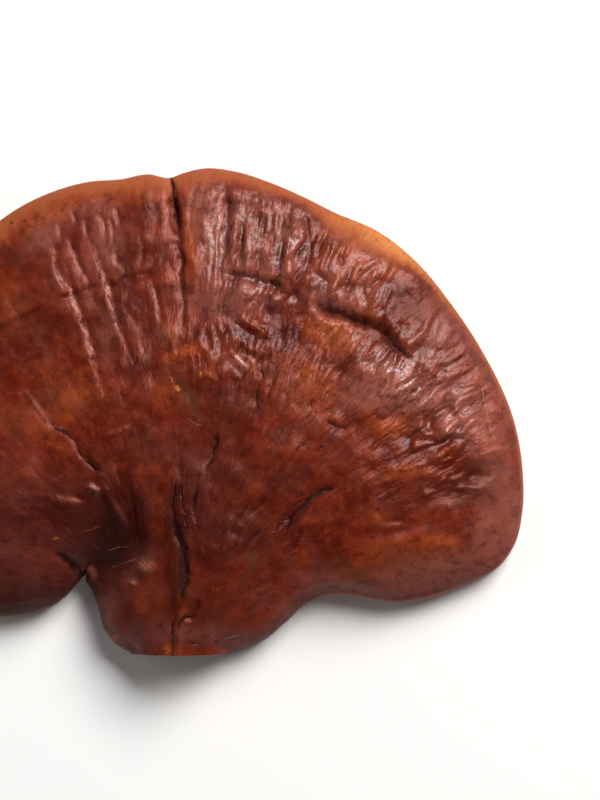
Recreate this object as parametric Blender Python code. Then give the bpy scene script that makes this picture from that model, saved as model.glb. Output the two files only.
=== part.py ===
"""Reishi mushroom: one kidney-shaped cap with the stub it grew on, cut flat off its log and laid on its pores.

The body is a single closed solid. Seen from above its outline is star-shaped about CENTRE and is cut
straight across the stub at CUT_Y. The crust is a height field over that plan: a blunt growing edge that
rises to a dome, thickest at the stub, with the split, furrows, creases, folds, hollow and lumps of the
dried cap pressed into it. The pore face is flat and is what the mushroom lies on.

Plan sizes are in millimetres, +Y away from the stub, +Z up through the crust.
"""

import math
from dataclasses import dataclass

import bmesh
import bpy
import numpy as np

MM = 0.001

# Driving sizes, in millimetres
CUT_Y = -69.9  # the plane of the flat cut across the stub
RIM_HEIGHT = 4.0  # height of the widest line of the growing edge above the pore face
EDGE_BODY = 10.5  # thickness that the crust gains over the rim line far from the stub
STUB_BODY = 21.0  # the same at the stub
BODY_REACH = 125.0  # distance from the stub over which the body thins
EDGE_REACH = 45.0  # distance from the outline over which the crust still climbs
EDGE_ROUNDNESS = 2.4  # exponent of the superellipse that the edge follows
UNDER_ROUND = 3.5  # how far the edge tucks in below its widest line
UNDER_FADE = 6.0  # distance from the cut over which that tuck begins
RELIEF_FADE = 4.0  # distance from the outline over which relief starts

# Resolution
GRID_CELLS = 200  # cells along each side of the crust's grid
OUTLINE_SAMPLES = 900  # points along the outline for measuring distance to it
UNDER_RINGS = 4  # rings between the widest line and the pore face
TRIANGLES = 9600  # triangles that the finished solid keeps
SNAP = 0.03  # a point this near a flat face is put on it

SEED = 5722

# Colour and finish of the crust
CRUST_COLOUR = (0.165, 0.042, 0.024, 1.0)
CRUST_ROUGHNESS = 0.42

# Plan points, in millimetres
CENTRE = np.array((-7.0, -5.5))
UMBO = np.array((-3.5, -54.8))  # the folds of the crust spread from here
OUTLINE = (
    (-6.6, 67.4), (-13.0, 68.4), (-20.8, 67.0), (-30.4, 66.2), (-40.0, 63.6), (-50.3, 58.8),
    (-60.8, 51.0), (-70.8, 40.9), (-82.9, 22.0), (-91.6, 1.7), (-94.8, -17.1), (-92.5, -33.1),
    (-85.3, -46.1), (-73.7, -54.8), (-62.0, -58.8), (-52.0, -59.2), (-44.1, -57.6), (-38.5, -55.0),
    (-34.8, -51.5), (-31.8, -47.8), (-31.0, -49.2), (-29.3, -52.0), (-27.4, -57.0), (-25.8, -62.8),
    (-22.2, -67.4), (-17.0, -70.3), (-8.0, -72.5), (2.0, -72.8), (9.0, -70.5), (14.8, -68.6), (20.8, -66.0),
    (26.4, -61.4), (34.2, -54.8), (41.5, -52.8), (50.3, -54.0), (57.1, -55.3), (66.0, -54.5),
    (77.6, -50.6), (88.2, -45.2), (92.6, -39.3), (95.2, -29.0), (95.3, -18.0), (93.0, -3.8),
    (83.6, 17.2), (74.8, 30.6), (63.8, 43.8), (53.4, 51.9), (41.2, 57.2), (32.0, 61.8),
    (22.0, 66.1), (11.7, 69.3), (3.0, 70.1), (-3.0, 68.7),
)


@dataclass(frozen=True)
class Crease:
    """A groove along a hand-placed line, steep on one side and gentle on the other.

    The steep side is on the left of the line's direction, and a lip may stand up along it; steep_side
    -1 puts both on the right. A negative depth makes a ridge. start and end say how much of the depth
    is left at each end of the line.
    """

    points: tuple
    depth: float
    width: float
    lip: float = 0.0
    lip_reach: float = 4.0
    steep_side: int = 1
    start: float = 0.0
    end: float = 0.0


@dataclass(frozen=True)
class Mound:
    """A smooth rise, or a hollow where height is negative, over a turned ellipse."""

    centre: tuple
    radii: tuple
    turn: float
    height: float


# The split runs in from the growing edge
SPLIT = (
    Crease(((-6.5, 69.5), (-6.3, 66.6), (-5.6, 58.8), (-3.7, 50.7), (-2.8, 45.0), (-3.0, 40.3),
            (-2.6, 32.0), (-2.4, 23.7), (-4.0, 19.0)), 3.0, 1.7, lip=1.0, steep_side=-1, start=1.0),
)
# Furrows between two seasons of growth, the outer one standing up as a roll
GROWTH_FURROWS = (
    Crease(((-88.0, -6.0), (-76.0, 10.0), (-62.0, 20.5), (-49.6, 25.9), (-41.5, 29.9), (-33.3, 34.4),
            (-27.4, 35.5), (-20.8, 37.4), (-15.6, 38.5), (-9.0, 39.4)), 1.6, 1.8, lip=0.9, lip_reach=9.0),
    Crease(((5.0, 41.0), (10.9, 39.5), (16.1, 38.4), (20.5, 36.9), (24.2, 35.4), (27.9, 33.6),
            (34.0, 32.0)), 1.5, 1.6, lip=0.8, lip_reach=8.0, end=0.4),
    Crease(((32.5, 33.2), (36.7, 32.2), (40.4, 30.4), (44.5, 28.3), (49.4, 25.9), (53.4, 23.5),
            (56.0, 21.0)), 2.8, 2.1, lip=1.5, lip_reach=8.0),
    Crease(((56.0, 21.2), (59.5, 18.2), (63.6, 15.7), (67.5, 13.2)), 2.1, 1.6, lip=1.0, lip_reach=7.0),
    Crease(((-34.0, 10.0), (-20.0, 16.5), (-6.0, 18.0), (8.0, 18.5), (20.0, 15.0), (30.0, 9.5)),
           0.8, 3.0, lip=0.4, lip_reach=6.0),
    Crease(((3.1, 65.2), (9.4, 63.2), (12.4, 63.7), (19.1, 63.3), (24.6, 61.3)), 0.6, 0.9, lip=0.3),
)
# Creases of the shrunken crust, each followed from the growing edge towards the stub
RADIAL_CREASES = (
    Crease(((-42.0, 51.4), (-40.0, 46.5), (-38.5, 39.6), (-35.2, 35.5), (-32.6, 26.2), (-29.6, 19.5),
            (-27.4, 11.9), (-24.8, 3.5)), 2.0, 1.8, lip=0.8),
    Crease(((-35.5, 52.5), (-35.0, 48.0), (-32.6, 41.0), (-30.7, 38.5)), 1.2, 1.3, lip=0.5),
    Crease(((-29.5, 35.0), (-28.6, 32.0), (-27.6, 29.0)), 1.0, 1.2, lip=0.4),
    Crease(((-28.9, 47.7), (-27.8, 44.4), (-25.5, 40.7), (-23.9, 34.0), (-21.5, 25.5), (-18.5, 17.0)),
           1.8, 1.6, lip=0.7),
    Crease(((-20.0, 33.3), (-18.2, 29.2), (-16.0, 21.8), (-14.5, 18.1)), 1.3, 1.3, lip=0.5),
    Crease(((-27.8, 56.5), (-26.4, 52.0), (-25.5, 48.0)), 1.1, 1.5, lip=0.4),
    Crease(((-22.0, 56.0), (-21.0, 53.0), (-20.5, 50.0)), 0.8, 1.2, lip=0.3),
    Crease(((-22.2, 46.2), (-21.5, 43.3), (-20.0, 40.3)), 0.9, 1.2, lip=0.3),
    Crease(((-15.6, 48.5), (-15.4, 45.0), (-15.6, 41.5)), 0.8, 1.1, lip=0.3),
    Crease(((-10.8, 36.0), (-10.4, 29.9), (-8.9, 24.3)), 1.1, 1.3, lip=0.4),
    Crease(((-54.5, 33.5), (-51.0, 27.5), (-48.9, 23.0)), 1.2, 1.5, lip=0.5),
    Crease(((-41.0, 21.5), (-39.5, 19.5), (-38.0, 17.5)), 0.8, 1.2, lip=0.3),
    Crease(((10.9, 65.0), (11.0, 52.8), (9.8, 41.5)), 1.3, 1.9, lip=0.5),
    Crease(((14.8, 53.0), (14.2, 48.0), (13.4, 42.5)), 1.1, 1.1, lip=0.4),
    Crease(((20.0, 58.0), (19.0, 54.0), (17.8, 50.0)), 1.0, 1.1, lip=0.3),
    Crease(((26.4, 54.5), (26.0, 49.0), (24.8, 42.5)), 1.2, 1.6, lip=0.4),
    Crease(((31.8, 57.0), (32.6, 50.6), (29.4, 43.2), (26.1, 40.0)), 1.6, 1.4, lip=0.8),
    Crease(((44.0, 47.0), (41.0, 42.0), (38.5, 37.0)), 0.9, 1.5, lip=0.3),
    Crease(((54.0, 39.0), (50.0, 33.5), (46.5, 29.5)), 0.9, 1.6, lip=0.3),
    Crease(((40.0, 25.5), (37.5, 20.0), (35.5, 14.5)), 0.8, 1.5, lip=0.3),
)
# Small folds bunched in the middle of the cap
MIDDLE_FOLDS = (
    Crease(((13.0, 21.6), (17.0, 20.6), (20.8, 19.2)), 1.1, 1.1, lip=0.5),
    Crease(((16.4, 17.5), (19.5, 13.9), (20.7, 9.7), (18.7, 5.4), (17.2, 1.5), (15.4, -2.2)),
           1.5, 1.4, lip=0.6, steep_side=-1),
    Crease(((22.0, 25.0), (23.2, 22.5), (23.5, 20.0)), 0.9, 1.1, lip=0.3),
    Crease(((0.9, 24.5), (3.2, 19.4), (6.6, 15.4)), 1.1, 1.2, lip=0.5),
    Crease(((-5.0, 19.8), (-4.2, 14.7), (-1.0, 12.8)), 1.1, 1.1, lip=0.4),
    Crease(((-3.8, 14.0), (-1.5, 7.0), (0.9, -0.8), (2.8, -3.0)), 1.5, 1.7, lip=0.5),
    Crease(((-3.9, 15.2), (-8.8, 13.2), (-10.8, 12.0), (-11.2, 8.8)), 0.9, 1.1, lip=0.4),
    Crease(((4.6, 0.0), (6.3, -5.5), (7.1, -6.9), (6.7, -10.5), (5.1, -14.0), (4.0, -18.3),
            (1.6, -20.2), (0.5, -24.0)), 1.7, 1.3, lip=0.5),
    Crease(((26.5, 2.5), (31.9, -1.6), (35.8, -3.5), (40.5, -3.2)), 0.9, 1.6, lip=0.7),
    Crease(((34.5, 4.0), (35.2, 1.0), (34.8, -3.0)), 0.9, 1.0, lip=0.3),
    Crease(((51.0, 10.5), (51.8, 7.8), (52.4, 5.0)), 1.1, 1.2, lip=0.4),
)
# Cracks around the stub
STUB_CRACKS = (
    Crease(((-4.8, -19.5), (-5.6, -28.2), (-5.2, -32.7), (-3.4, -37.8), (-2.3, -43.0), (-2.6, -48.0),
            (-3.6, -54.5)), 3.3, 1.7, lip=0.8),
    Crease(((-3.3, -52.5), (-5.6, -57.5), (-5.2, -61.5), (-5.9, -66.0), (-6.0, -72.0)), 1.3, 1.3,
           lip=0.3, end=0.8),
    Crease(((-3.8, -20.5), (-2.9, -25.8), (-2.2, -30.5)), 1.0, 1.0),
    Crease(((0.4, -19.8), (0.0, -24.9), (0.0, -30.7), (0.9, -35.2)), 1.2, 1.1, lip=0.3),
    Crease(((2.0, -53.2), (0.8, -56.7), (0.4, -58.7), (-1.9, -59.3), (-3.9, -61.0), (-4.6, -63.6)),
           1.1, 1.0),
    Crease(((40.2, -23.0), (36.9, -22.5), (34.2, -24.9), (31.1, -26.4), (28.8, -29.1), (26.8, -31.5),
            (22.4, -34.3)), 2.6, 1.6, lip=0.8),
    Crease(((29.0, -29.5), (27.6, -32.4), (25.5, -35.8)), 1.4, 1.2),
    Crease(((19.4, -32.9), (17.4, -36.0), (15.3, -39.0)), 1.1, 1.2),
    Crease(((14.0, -36.0), (12.0, -39.5), (9.8, -42.8)), 1.0, 1.2),
    Crease(((20.2, -27.2), (18.0, -29.0), (16.0, -31.1)), 0.8, 1.1),
    Crease(((30.5, -35.4), (29.6, -37.2), (28.5, -39.4)), 0.9, 1.1),
    Crease(((20.9, -47.8), (19.4, -49.8), (17.5, -52.1)), 0.8, 1.1),
    Crease(((-17.3, -20.0), (-16.3, -29.3), (-15.6, -33.0), (-13.0, -38.4)), 1.3, 1.3, lip=0.4),
)
# Folds and ridges of the two lobes
LOBE_FOLDS = (
    Crease(((-62.0, 1.0), (-55.5, 3.2), (-48.9, 5.4), (-45.5, 1.7), (-40.4, -4.1), (-34.8, -7.6),
            (-30.4, -13.5), (-25.5, -18.0)), 2.1, 1.7, lip=1.7, lip_reach=9.0, steep_side=-1),
    Crease(((-40.4, -39.8), (-36.7, -41.5), (-34.1, -44.5), (-31.6, -48.6)), 2.3, 1.7, lip=0.9,
           steep_side=-1, end=1.0),
    Crease(((-40.5, -24.6), (-34.1, -26.0), (-28.4, -28.6)), -1.1, 1.5),
    Crease(((-31.0, -20.3), (-27.8, -22.4), (-25.2, -24.4)), -1.0, 1.3),
    Crease(((-24.9, -20.8), (-23.7, -25.6), (-21.5, -28.6), (-19.2, -30.8)), -1.0, 1.3),
    Crease(((79.0, 8.5), (76.1, 3.9), (72.9, 0.4), (69.5, -2.4), (66.6, -3.5), (61.0, -4.8)),
           1.8, 2.0, lip=1.1),
    Crease(((78.0, -6.6), (73.3, -8.1), (69.7, -8.8), (66.0, -9.8)), 1.3, 1.5, lip=0.7),
    Crease(((90.5, -10.8), (83.8, -11.9), (80.3, -12.6), (76.8, -14.4)), -0.9, 1.3),
    Crease(((72.8, -20.6), (77.5, -19.0), (80.2, -17.2)), -0.7, 1.2),
    Crease(((76.5, -22.2), (80.5, -21.6), (84.8, -21.8)), 0.8, 1.4),
    Crease(((80.9, 13.5), (83.1, 7.0), (84.5, -1.0), (86.6, -8.2)), -0.7, 1.2),
    Crease(((67.3, 11.5), (64.8, 3.9), (62.2, -1.2)), 1.1, 1.6, lip=0.4),
    Crease(((54.2, -12.6), (55.4, -16.2), (58.0, -18.4), (64.0, -17.6)), 0.9, 1.2, lip=0.4),
    Crease(((42.0, -37.0), (54.0, -33.0), (68.0, -31.5), (80.0, -34.0)), 0.9, 3.0, lip=0.6, lip_reach=8.0),
)
MOUNDS = (
    Mound((-21.5, -37.5), (8.0, 9.5), 20.0, -5.4),  # hollow beside the stub
    Mound((-30.5, -45.5), (7.0, 7.0), 0.0, -2.2),  # its mouth at the notch
    Mound((-60.0, -28.0), (22.0, 16.0), -20.0, 2.2),  # belly of the small lobe
    Mound((3.5, 11.0), (14.0, 11.0), 20.0, 1.3),  # folded patch in the middle
    Mound((-6.4, 22.9), (2.8, 2.6), 0.0, 1.0),  # knob at the foot of the split
    Mound((10.0, -44.0), (9.0, 17.0), -10.0, 1.7),  # shoulder of the stub
    Mound((58.0, -41.0), (24.0, 9.0), 8.0, 1.8),  # belly of the large lobe
    Mound((57.0, 11.0), (9.0, 6.5), -35.0, 1.3),  # glossy swelling below the furrow
    Mound((80.0, -16.5), (5.0, 3.6), 10.0, -1.4),  # dimple by the edge of the large lobe
    Mound((58.0, -8.0), (12.0, 5.0), 20.0, -1.4),
    Mound((30.0, 6.0), (9.0, 7.0), -30.0, 1.1),
    Mound((24.0, -14.0), (12.0, 8.0), 50.0, 1.0),
    Mound((-62.0, 11.0), (12.0, 7.0), 30.0, 1.0),
    Mound((-45.0, 42.0), (9.0, 8.0), -30.0, 1.0),
)


def smooth_ramp(value, low, high):
    """0 up to low, 1 from high, and a cubic rise between them."""
    share = np.clip((value - low) / (high - low), 0.0, 1.0)
    return share * share * (3.0 - 2.0 * share)


def lattice_noise(x, y, seed):
    """Smooth noise from -1 to 1: random values on a unit lattice, eased between its corners."""
    table = np.random.default_rng(seed).uniform(-1.0, 1.0, (256, 256))
    column, row = np.floor(x).astype(int), np.floor(y).astype(int)
    across, along = smooth_ramp(x - column, 0.0, 1.0), smooth_ramp(y - row, 0.0, 1.0)

    def corner(right, up):
        return table[(column + right) % 256, (row + up) % 256]

    low = corner(0, 0) * (1.0 - across) + corner(1, 0) * across
    high = corner(0, 1) * (1.0 - across) + corner(1, 1) * across
    return low * (1.0 - along) + high * along


def curve_through(points, per_span=5):
    """A smooth open line through hand-placed points, as a Catmull-Rom curve."""
    points = np.asarray(points)
    padded = np.vstack((2.0 * points[0] - points[1], points, 2.0 * points[-1] - points[-2]))
    t = np.linspace(0.0, 1.0, per_span, endpoint=False)[:, None]
    spans = [
        0.5 * (2.0 * b + (c - a) * t + (2.0 * a - 5.0 * b + 4.0 * c - d) * t ** 2
               + (3.0 * b - a - 3.0 * c + d) * t ** 3)
        for a, b, c, d in zip(padded, padded[1:], padded[2:], padded[3:])
    ]
    return np.vstack((*spans, points[-1]))


def measure_to_line(plan, line):
    """Signed distance from each plan point to a line, left of it positive, and the share of its length."""
    start, span = line[:-1], np.diff(line, axis=0)
    length = np.hypot(*span.T)
    travelled = np.concatenate(((0.0,), np.cumsum(length)))
    away = plan[:, None, :] - start
    share = np.clip((away * span).sum(2) / length ** 2, 0.0, 1.0)
    gap = away - share[:, :, None] * span
    distance = np.hypot(gap[:, :, 0], gap[:, :, 1])
    nearest = distance.argmin(1)
    pick = np.arange(len(plan)), nearest
    side = span[nearest, 0] * away[pick][:, 1] - span[nearest, 1] * away[pick][:, 0]
    along = (travelled[nearest] + share[pick] * length[nearest]) / travelled[-1]
    return np.where(side < 0.0, -1.0, 1.0) * distance[pick], along


class Outline:
    """The plan of the cap: radius about CENTRE as a smooth function of the angle, cut across the stub."""

    def __init__(self):
        arm = np.array(OUTLINE) - CENTRE
        angle = np.unwrap(np.arctan2(arm[:, 1], arm[:, 0]))
        radius = np.hypot(*arm.T)
        turn = 2.0 * math.pi
        self.angle = np.concatenate((angle[-2:] - turn, angle, angle[:2] + turn))
        self.radius = np.concatenate((radius[-2:], radius, radius[:2]))
        step = np.diff(self.angle)
        rate = np.diff(self.radius) / step
        self.slope = (rate[:-1] * step[1:] + rate[1:] * step[:-1]) / (step[:-1] + step[1:])

    def grown_radius(self, angle):
        """Radius of the outline before the cut: a cubic through the plan points, slopes matched."""
        turn = 2.0 * math.pi
        first = self.angle[2]
        angle = first + np.mod(angle - first, turn)
        span = np.clip(np.searchsorted(self.angle, angle, side="right") - 1, 2, len(self.angle) - 3)
        step = self.angle[span + 1] - self.angle[span]
        t = (angle - self.angle[span]) / step
        from_slope, to_slope = self.slope[span - 1] * step, self.slope[span] * step
        return (
            self.radius[span] * (1.0 + 2.0 * t) * (1.0 - t) ** 2
            + from_slope * t * (1.0 - t) ** 2
            + self.radius[span + 1] * t ** 2 * (3.0 - 2.0 * t)
            + to_slope * t ** 2 * (t - 1.0)
        )

    def cut_radius(self, angle):
        """Radius of the outline with the stub cut off straight at CUT_Y."""
        downward = np.minimum(np.sin(angle), -1e-6)
        return np.minimum(self.grown_radius(angle), (CUT_Y - CENTRE[1]) / downward)

    def grown_line(self):
        """The growing edge as an open line that starts and ends at the corners of the cut."""
        angle = np.linspace(0.0, 2.0 * math.pi, OUTLINE_SAMPLES, endpoint=False) - 0.5 * math.pi
        radius = self.grown_radius(angle)
        line = CENTRE + radius[:, None] * np.column_stack((np.cos(angle), np.sin(angle)))
        kept = line[:, 1] > CUT_Y
        first = int(np.flatnonzero(kept & ~np.roll(kept, 1))[0])
        line = np.roll(line, -first, axis=0)
        return line[np.roll(kept, -first)]


def crease_relief(plan, crease):
    """Height that one crease adds: a lopsided groove, and a lip that falls away from its steep side."""
    relief = np.zeros(len(plan))
    line = curve_through(crease.points)
    reach = 3.0 * max(crease.width, crease.lip_reach)
    near = np.all((plan > line.min(0) - reach) & (plan < line.max(0) + reach), axis=1)
    side, along = measure_to_line(plan[near], line)
    side *= crease.steep_side
    rise = crease.start + (1.0 - crease.start) * smooth_ramp(along, 0.0, 0.25)
    fall = crease.end + (1.0 - crease.end) * (1.0 - smooth_ramp(along, 0.65, 1.0))
    width = crease.width * np.where(side > 0.0, 0.75, 1.35)
    groove = np.exp(-(np.abs(side) / width) ** 1.6)
    lip = smooth_ramp(side, -0.5 * crease.width, 1.5 * crease.width) * np.exp(
        -(np.maximum(side, 0.0) / crease.lip_reach) ** 2
    )
    relief[near] = rise * fall * (crease.lip * lip - crease.depth * groove)
    return relief


def mound_relief(plan, mound):
    """Height that one mound adds: a bell over its ellipse."""
    turn = math.radians(mound.turn)
    away = plan - np.array(mound.centre)
    across = (away[:, 0] * math.cos(turn) + away[:, 1] * math.sin(turn)) / mound.radii[0]
    along = (away[:, 1] * math.cos(turn) - away[:, 0] * math.sin(turn)) / mound.radii[1]
    return mound.height * np.exp(-(across ** 2 + along ** 2))


def dried_relief(plan):
    """Wrinkles that spread from the umbo, rings of growth across them, and low lumps."""
    away = plan - UMBO
    far = np.hypot(*away.T)
    bearing = np.arctan2(away[:, 0], away[:, 1])
    spread = smooth_ramp(far, 25.0, 70.0)
    wrinkles = 0.55 * lattice_noise(bearing * 17.0, far / 26.0, SEED)
    wrinkles += 0.45 * lattice_noise(bearing * 31.0 + 9.0, far / 17.0, SEED + 1)
    rings = 0.35 * lattice_noise(far / 7.0, bearing * 2.2 + 5.0, SEED + 2)
    lumps = 0.50 * lattice_noise(plan[:, 0] / 13.0, plan[:, 1] / 11.0, SEED + 3)
    lumps += 0.35 * lattice_noise(plan[:, 0] / 6.0, plan[:, 1] / 5.5, SEED + 4)
    return spread * (wrinkles + rings) + lumps


def crust_height(plan, edge_distance):
    """Height of the crust over the pore face.

    A superellipse climbs from the widest line over EDGE_REACH, scaled by a body that thins away from the
    stub, and the relief of the dried crust is added to it once the edge is passed.
    """
    far = np.hypot(*(plan - UMBO).T)
    body = EDGE_BODY + (STUB_BODY - EDGE_BODY) * (1.0 - smooth_ramp(far, 0.0, BODY_REACH))
    inward = np.clip(edge_distance / EDGE_REACH, 0.0, 1.0)
    climb = (1.0 - (1.0 - inward) ** EDGE_ROUNDNESS) ** (1.0 / EDGE_ROUNDNESS)
    relief = dried_relief(plan)
    creases = SPLIT + GROWTH_FURROWS + RADIAL_CREASES + MIDDLE_FOLDS + STUB_CRACKS + LOBE_FOLDS
    for crease in creases:
        relief += crease_relief(plan, crease)
    for mound in MOUNDS:
        relief += mound_relief(plan, mound)
    return RIM_HEIGHT + body * climb + relief * smooth_ramp(edge_distance, 0.0, RELIEF_FADE)


def crust_grid(outline):
    """Plan points of a square grid laid into the outline, its rows closer together near the edge."""
    side = np.linspace(-1.0, 1.0, GRID_CELLS + 1)
    u, v = np.meshgrid(side, side)
    disc_x, disc_y = u * np.sqrt(1.0 - 0.5 * v ** 2), v * np.sqrt(1.0 - 0.5 * u ** 2)
    angle = np.arctan2(disc_y, disc_x).ravel()
    share = np.minimum(np.hypot(disc_x, disc_y).ravel(), 1.0)
    share = share * (1.3 - 0.3 * share)
    mean = outline.radius.mean()
    radius = share * (mean + (outline.cut_radius(angle) - mean) * share)
    return CENTRE + radius[:, None] * np.column_stack((np.cos(angle), np.sin(angle)))


def grid_border():
    """Indices of the grid's border points, in order round it."""
    count = GRID_CELLS + 1
    index = np.arange(count * count).reshape(count, count)
    return np.concatenate((index[0, :-1], index[:-1, -1], index[-1, :0:-1], index[:0:-1, 0]))


def under_rings(border):
    """Rings of points from the widest line down and in to the pore face, a straight wall at the cut."""
    inward = CENTRE - border[:, :2]
    inward /= np.hypot(*inward.T)[:, None]
    tuck = UNDER_ROUND * smooth_ramp(border[:, 1] - CUT_Y, 0.0, UNDER_FADE)
    rings = []
    for ring in range(1, UNDER_RINGS + 1):
        turn = 0.5 * math.pi * ring / UNDER_RINGS
        plan = border[:, :2] + (tuck * (1.0 - math.cos(turn)))[:, None] * inward
        rings.append(np.column_stack((plan, border[:, 2] * (1.0 - math.sin(turn)))))
    return rings


def dense_mesh():
    """The closed body before its flat stretches are thinned out."""
    outline = Outline()
    plan = crust_grid(outline)
    edge = outline.grown_line()
    distance = np.concatenate(
        [np.abs(measure_to_line(part, edge)[0]) for part in np.array_split(plan, 60)]
    )
    top = np.column_stack((plan, crust_height(plan, distance)))
    border = grid_border()
    rings = under_rings(top[border])
    points = np.vstack((top, *rings, (*CENTRE, 0.0)))

    count = GRID_CELLS + 1
    cell = np.arange(count * count).reshape(count, count)[:-1, :-1].ravel()
    faces = np.column_stack((cell, cell + 1, cell + count + 1, cell + count)).tolist()
    upper = border
    for ring in range(UNDER_RINGS):
        lower = len(top) + ring * len(border) + np.arange(len(border))
        faces += np.column_stack((upper, np.roll(upper, -1), np.roll(lower, -1), lower)).tolist()
        upper = lower
    middle = np.full(len(upper), len(points) - 1)
    faces += np.column_stack((upper, np.roll(upper, -1), middle)).tolist()

    mesh = bpy.data.meshes.new("mushroom_dense")
    mesh.from_pydata((points * MM).tolist(), [], faces)
    shell = bmesh.new()
    shell.from_mesh(mesh)
    bmesh.ops.remove_doubles(shell, verts=shell.verts, dist=1e-3 * MM)
    bmesh.ops.triangulate(shell, faces=shell.faces)
    bmesh.ops.recalc_face_normals(shell, faces=shell.faces)
    shell.to_mesh(mesh)
    shell.free()
    return mesh


def thin_out(body):
    """Keep TRIANGLES triangles, where the surface bends most, with the cut and the pore face left flat."""
    thin = body.modifiers.new("Thin", "DECIMATE")
    thin.ratio = TRIANGLES / len(body.data.polygons)
    thin.use_collapse_triangulate = True
    mesh = bpy.data.meshes.new_from_object(body.evaluated_get(bpy.context.evaluated_depsgraph_get()))
    body.modifiers.clear()
    body.data = mesh
    points = np.empty(len(mesh.vertices) * 3, np.float32)
    mesh.vertices.foreach_get("co", points)
    points = points.reshape(-1, 3).astype(float)
    points[points[:, 2] < SNAP * MM, 2] = 0.0
    points[points[:, 1] < (CUT_Y + SNAP) * MM, 1] = CUT_Y * MM
    middle = 0.5 * (points.min(0) + points.max(0))
    points[:, :2] -= middle[:2]
    mesh.vertices.foreach_set("co", points.astype(np.float32).ravel())
    mesh.update()


def crust_material():
    """The lacquered red-brown of the crust."""
    material = bpy.data.materials.new("crust")
    material.use_nodes = True
    shader = material.node_tree.nodes["Principled BSDF"]
    shader.inputs["Base Color"].default_value = CRUST_COLOUR
    shader.inputs["Roughness"].default_value = CRUST_ROUGHNESS
    shader.inputs["Metallic"].default_value = 0.0
    return material


def main():
    for old in list(bpy.data.objects):
        bpy.data.objects.remove(old, do_unlink=True)
    body = bpy.data.objects.new("mushroom", dense_mesh())
    bpy.context.scene.collection.objects.link(body)
    thin_out(body)
    body.data.materials.append(crust_material())
    body.data.shade_smooth()
    body.data.set_sharp_from_angle(angle=math.radians(50.0))


main()
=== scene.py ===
"""Looks of the reishi mushroom: one dense closed piece, its lacquered crust, pores and cut, and the studio.

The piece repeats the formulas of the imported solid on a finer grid, adds the wrinkles and creases that the
solid is too coarse for, and carries the masks that its finishes read. Plan sizes are in millimetres, +Y away
from the stub and +Z up through the crust; only the finished mesh is in metres.
"""

import logging
import math
from dataclasses import dataclass
from enum import Enum, IntEnum
from functools import cached_property
from typing import Any, Optional

import bpy
import numpy as np
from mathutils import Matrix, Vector

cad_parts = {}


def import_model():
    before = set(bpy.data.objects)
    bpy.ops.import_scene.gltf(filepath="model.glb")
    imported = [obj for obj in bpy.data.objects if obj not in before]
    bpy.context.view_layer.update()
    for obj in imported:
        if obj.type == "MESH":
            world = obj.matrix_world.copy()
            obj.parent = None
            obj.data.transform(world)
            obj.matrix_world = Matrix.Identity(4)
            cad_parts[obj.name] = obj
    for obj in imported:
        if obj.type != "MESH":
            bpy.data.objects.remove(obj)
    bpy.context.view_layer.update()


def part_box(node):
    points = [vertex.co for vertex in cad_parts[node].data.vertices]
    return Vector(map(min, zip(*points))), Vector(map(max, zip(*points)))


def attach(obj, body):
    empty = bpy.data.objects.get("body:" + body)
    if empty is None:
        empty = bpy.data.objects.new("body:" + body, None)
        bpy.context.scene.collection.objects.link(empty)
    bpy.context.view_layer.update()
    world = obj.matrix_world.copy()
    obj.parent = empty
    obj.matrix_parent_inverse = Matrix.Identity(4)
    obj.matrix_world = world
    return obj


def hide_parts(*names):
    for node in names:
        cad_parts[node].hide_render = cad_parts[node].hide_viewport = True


MM = 0.001
CM = 0.01
TURN = 2.0 * math.pi
SLACK = 1e-4  # millimetres off a line that still count as on it
LEVEL = 1e-6  # sine of a ray that counts as level
LATTICE = 256  # points along each side of a noise lattice before it repeats
log = logging.getLogger("reishi")

Array = np.ndarray
Socket = bpy.types.NodeSocket
Rgba = tuple[float, float, float, float]
Rows = tuple[tuple[float, ...], ...]


class Surface(IntEnum):
    """Where each finish goes, as the material slots of the piece."""

    CRUST = 0
    PORES = 1
    CUT = 2


class Mask(Enum):
    """Point attributes of the piece that its finishes read."""

    MARGIN = "margin"  # distance from the growing edge, over the width of its pale band
    EDGE = "edge_mm"  # distance from the growing edge
    WRINKLE = "wrinkle"  # strength of the finest wrinkles
    CREVICE = "crevice"  # how deep in a crease; the bottom of a crease is painted in shade
    WEAR_AND_GLINT = "scuff"  # how strongly a pale glint is painted, with some wear, on knobs and on the gentle flank of a crease
    SIDE = "side_mm"  # distance across from the nearest hairline
    INK = "ink"  # strength of that hairline, below 0 where it is pale
    RIDGE = "ridge"  # above 0 on ridges, below 0 in hollows
    UNDER = "under"  # 0 on the crust, 1 on the pore face
    BELOW = "below_mm"  # depth below the crust, on the cut
    SUN_AND_SHADE = "sun"  # above 0 on the yellow edge painted as sunlit, below 0 on the lower edge painted in shade
    SMOOTH = "smooth"  # this and the rest: how smooth or glossy, and where tints, stains, painted shade and painted sheen go
    GLOSS = "gloss"
    WARM = "warm"
    # dark tone, and painted shade in the hollow, along cracks and on the lower edges
    DUSK = "dusk"
    PLUM = "plum"
    # painted sheen: pale mauve where the lacquer catches the light
    PAINTED_SHEEN = "bloom"
    ORANGE = "orange"
    YELLOW = "yellow"
    OLIVE = "olive"
    # painted shade in the hollow, pits and cracks and on the lower edge, and a few dark dots
    DARK = "dark"


Masks = dict[Mask, Array]


@dataclass(frozen=True)
class Crease:
    """A groove along a given line, steep on one side and gentle on the other.

    line is the x and y of each of its points in turn. The steep side is on the left of the line's
    direction, and a lip may stand up along it and reach some way; side -1 puts both on the right. A
    negative depth makes a ridge. start and end say how much of the depth is left at each end. The gentle
    flank may be painted pale as a glint, with some wear, by the number after end, and ink says how dark a
    hairline runs along the bottom; below 0 it is pale.
    """

    line: tuple[float, ...]
    depth: float
    width: float
    lip: float = 0.0
    reach: float = 4.0
    side: int = 1
    start: float = 0.0
    end: float = 0.0
    scuff: float = 0.0
    ink: float = 0.0


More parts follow.
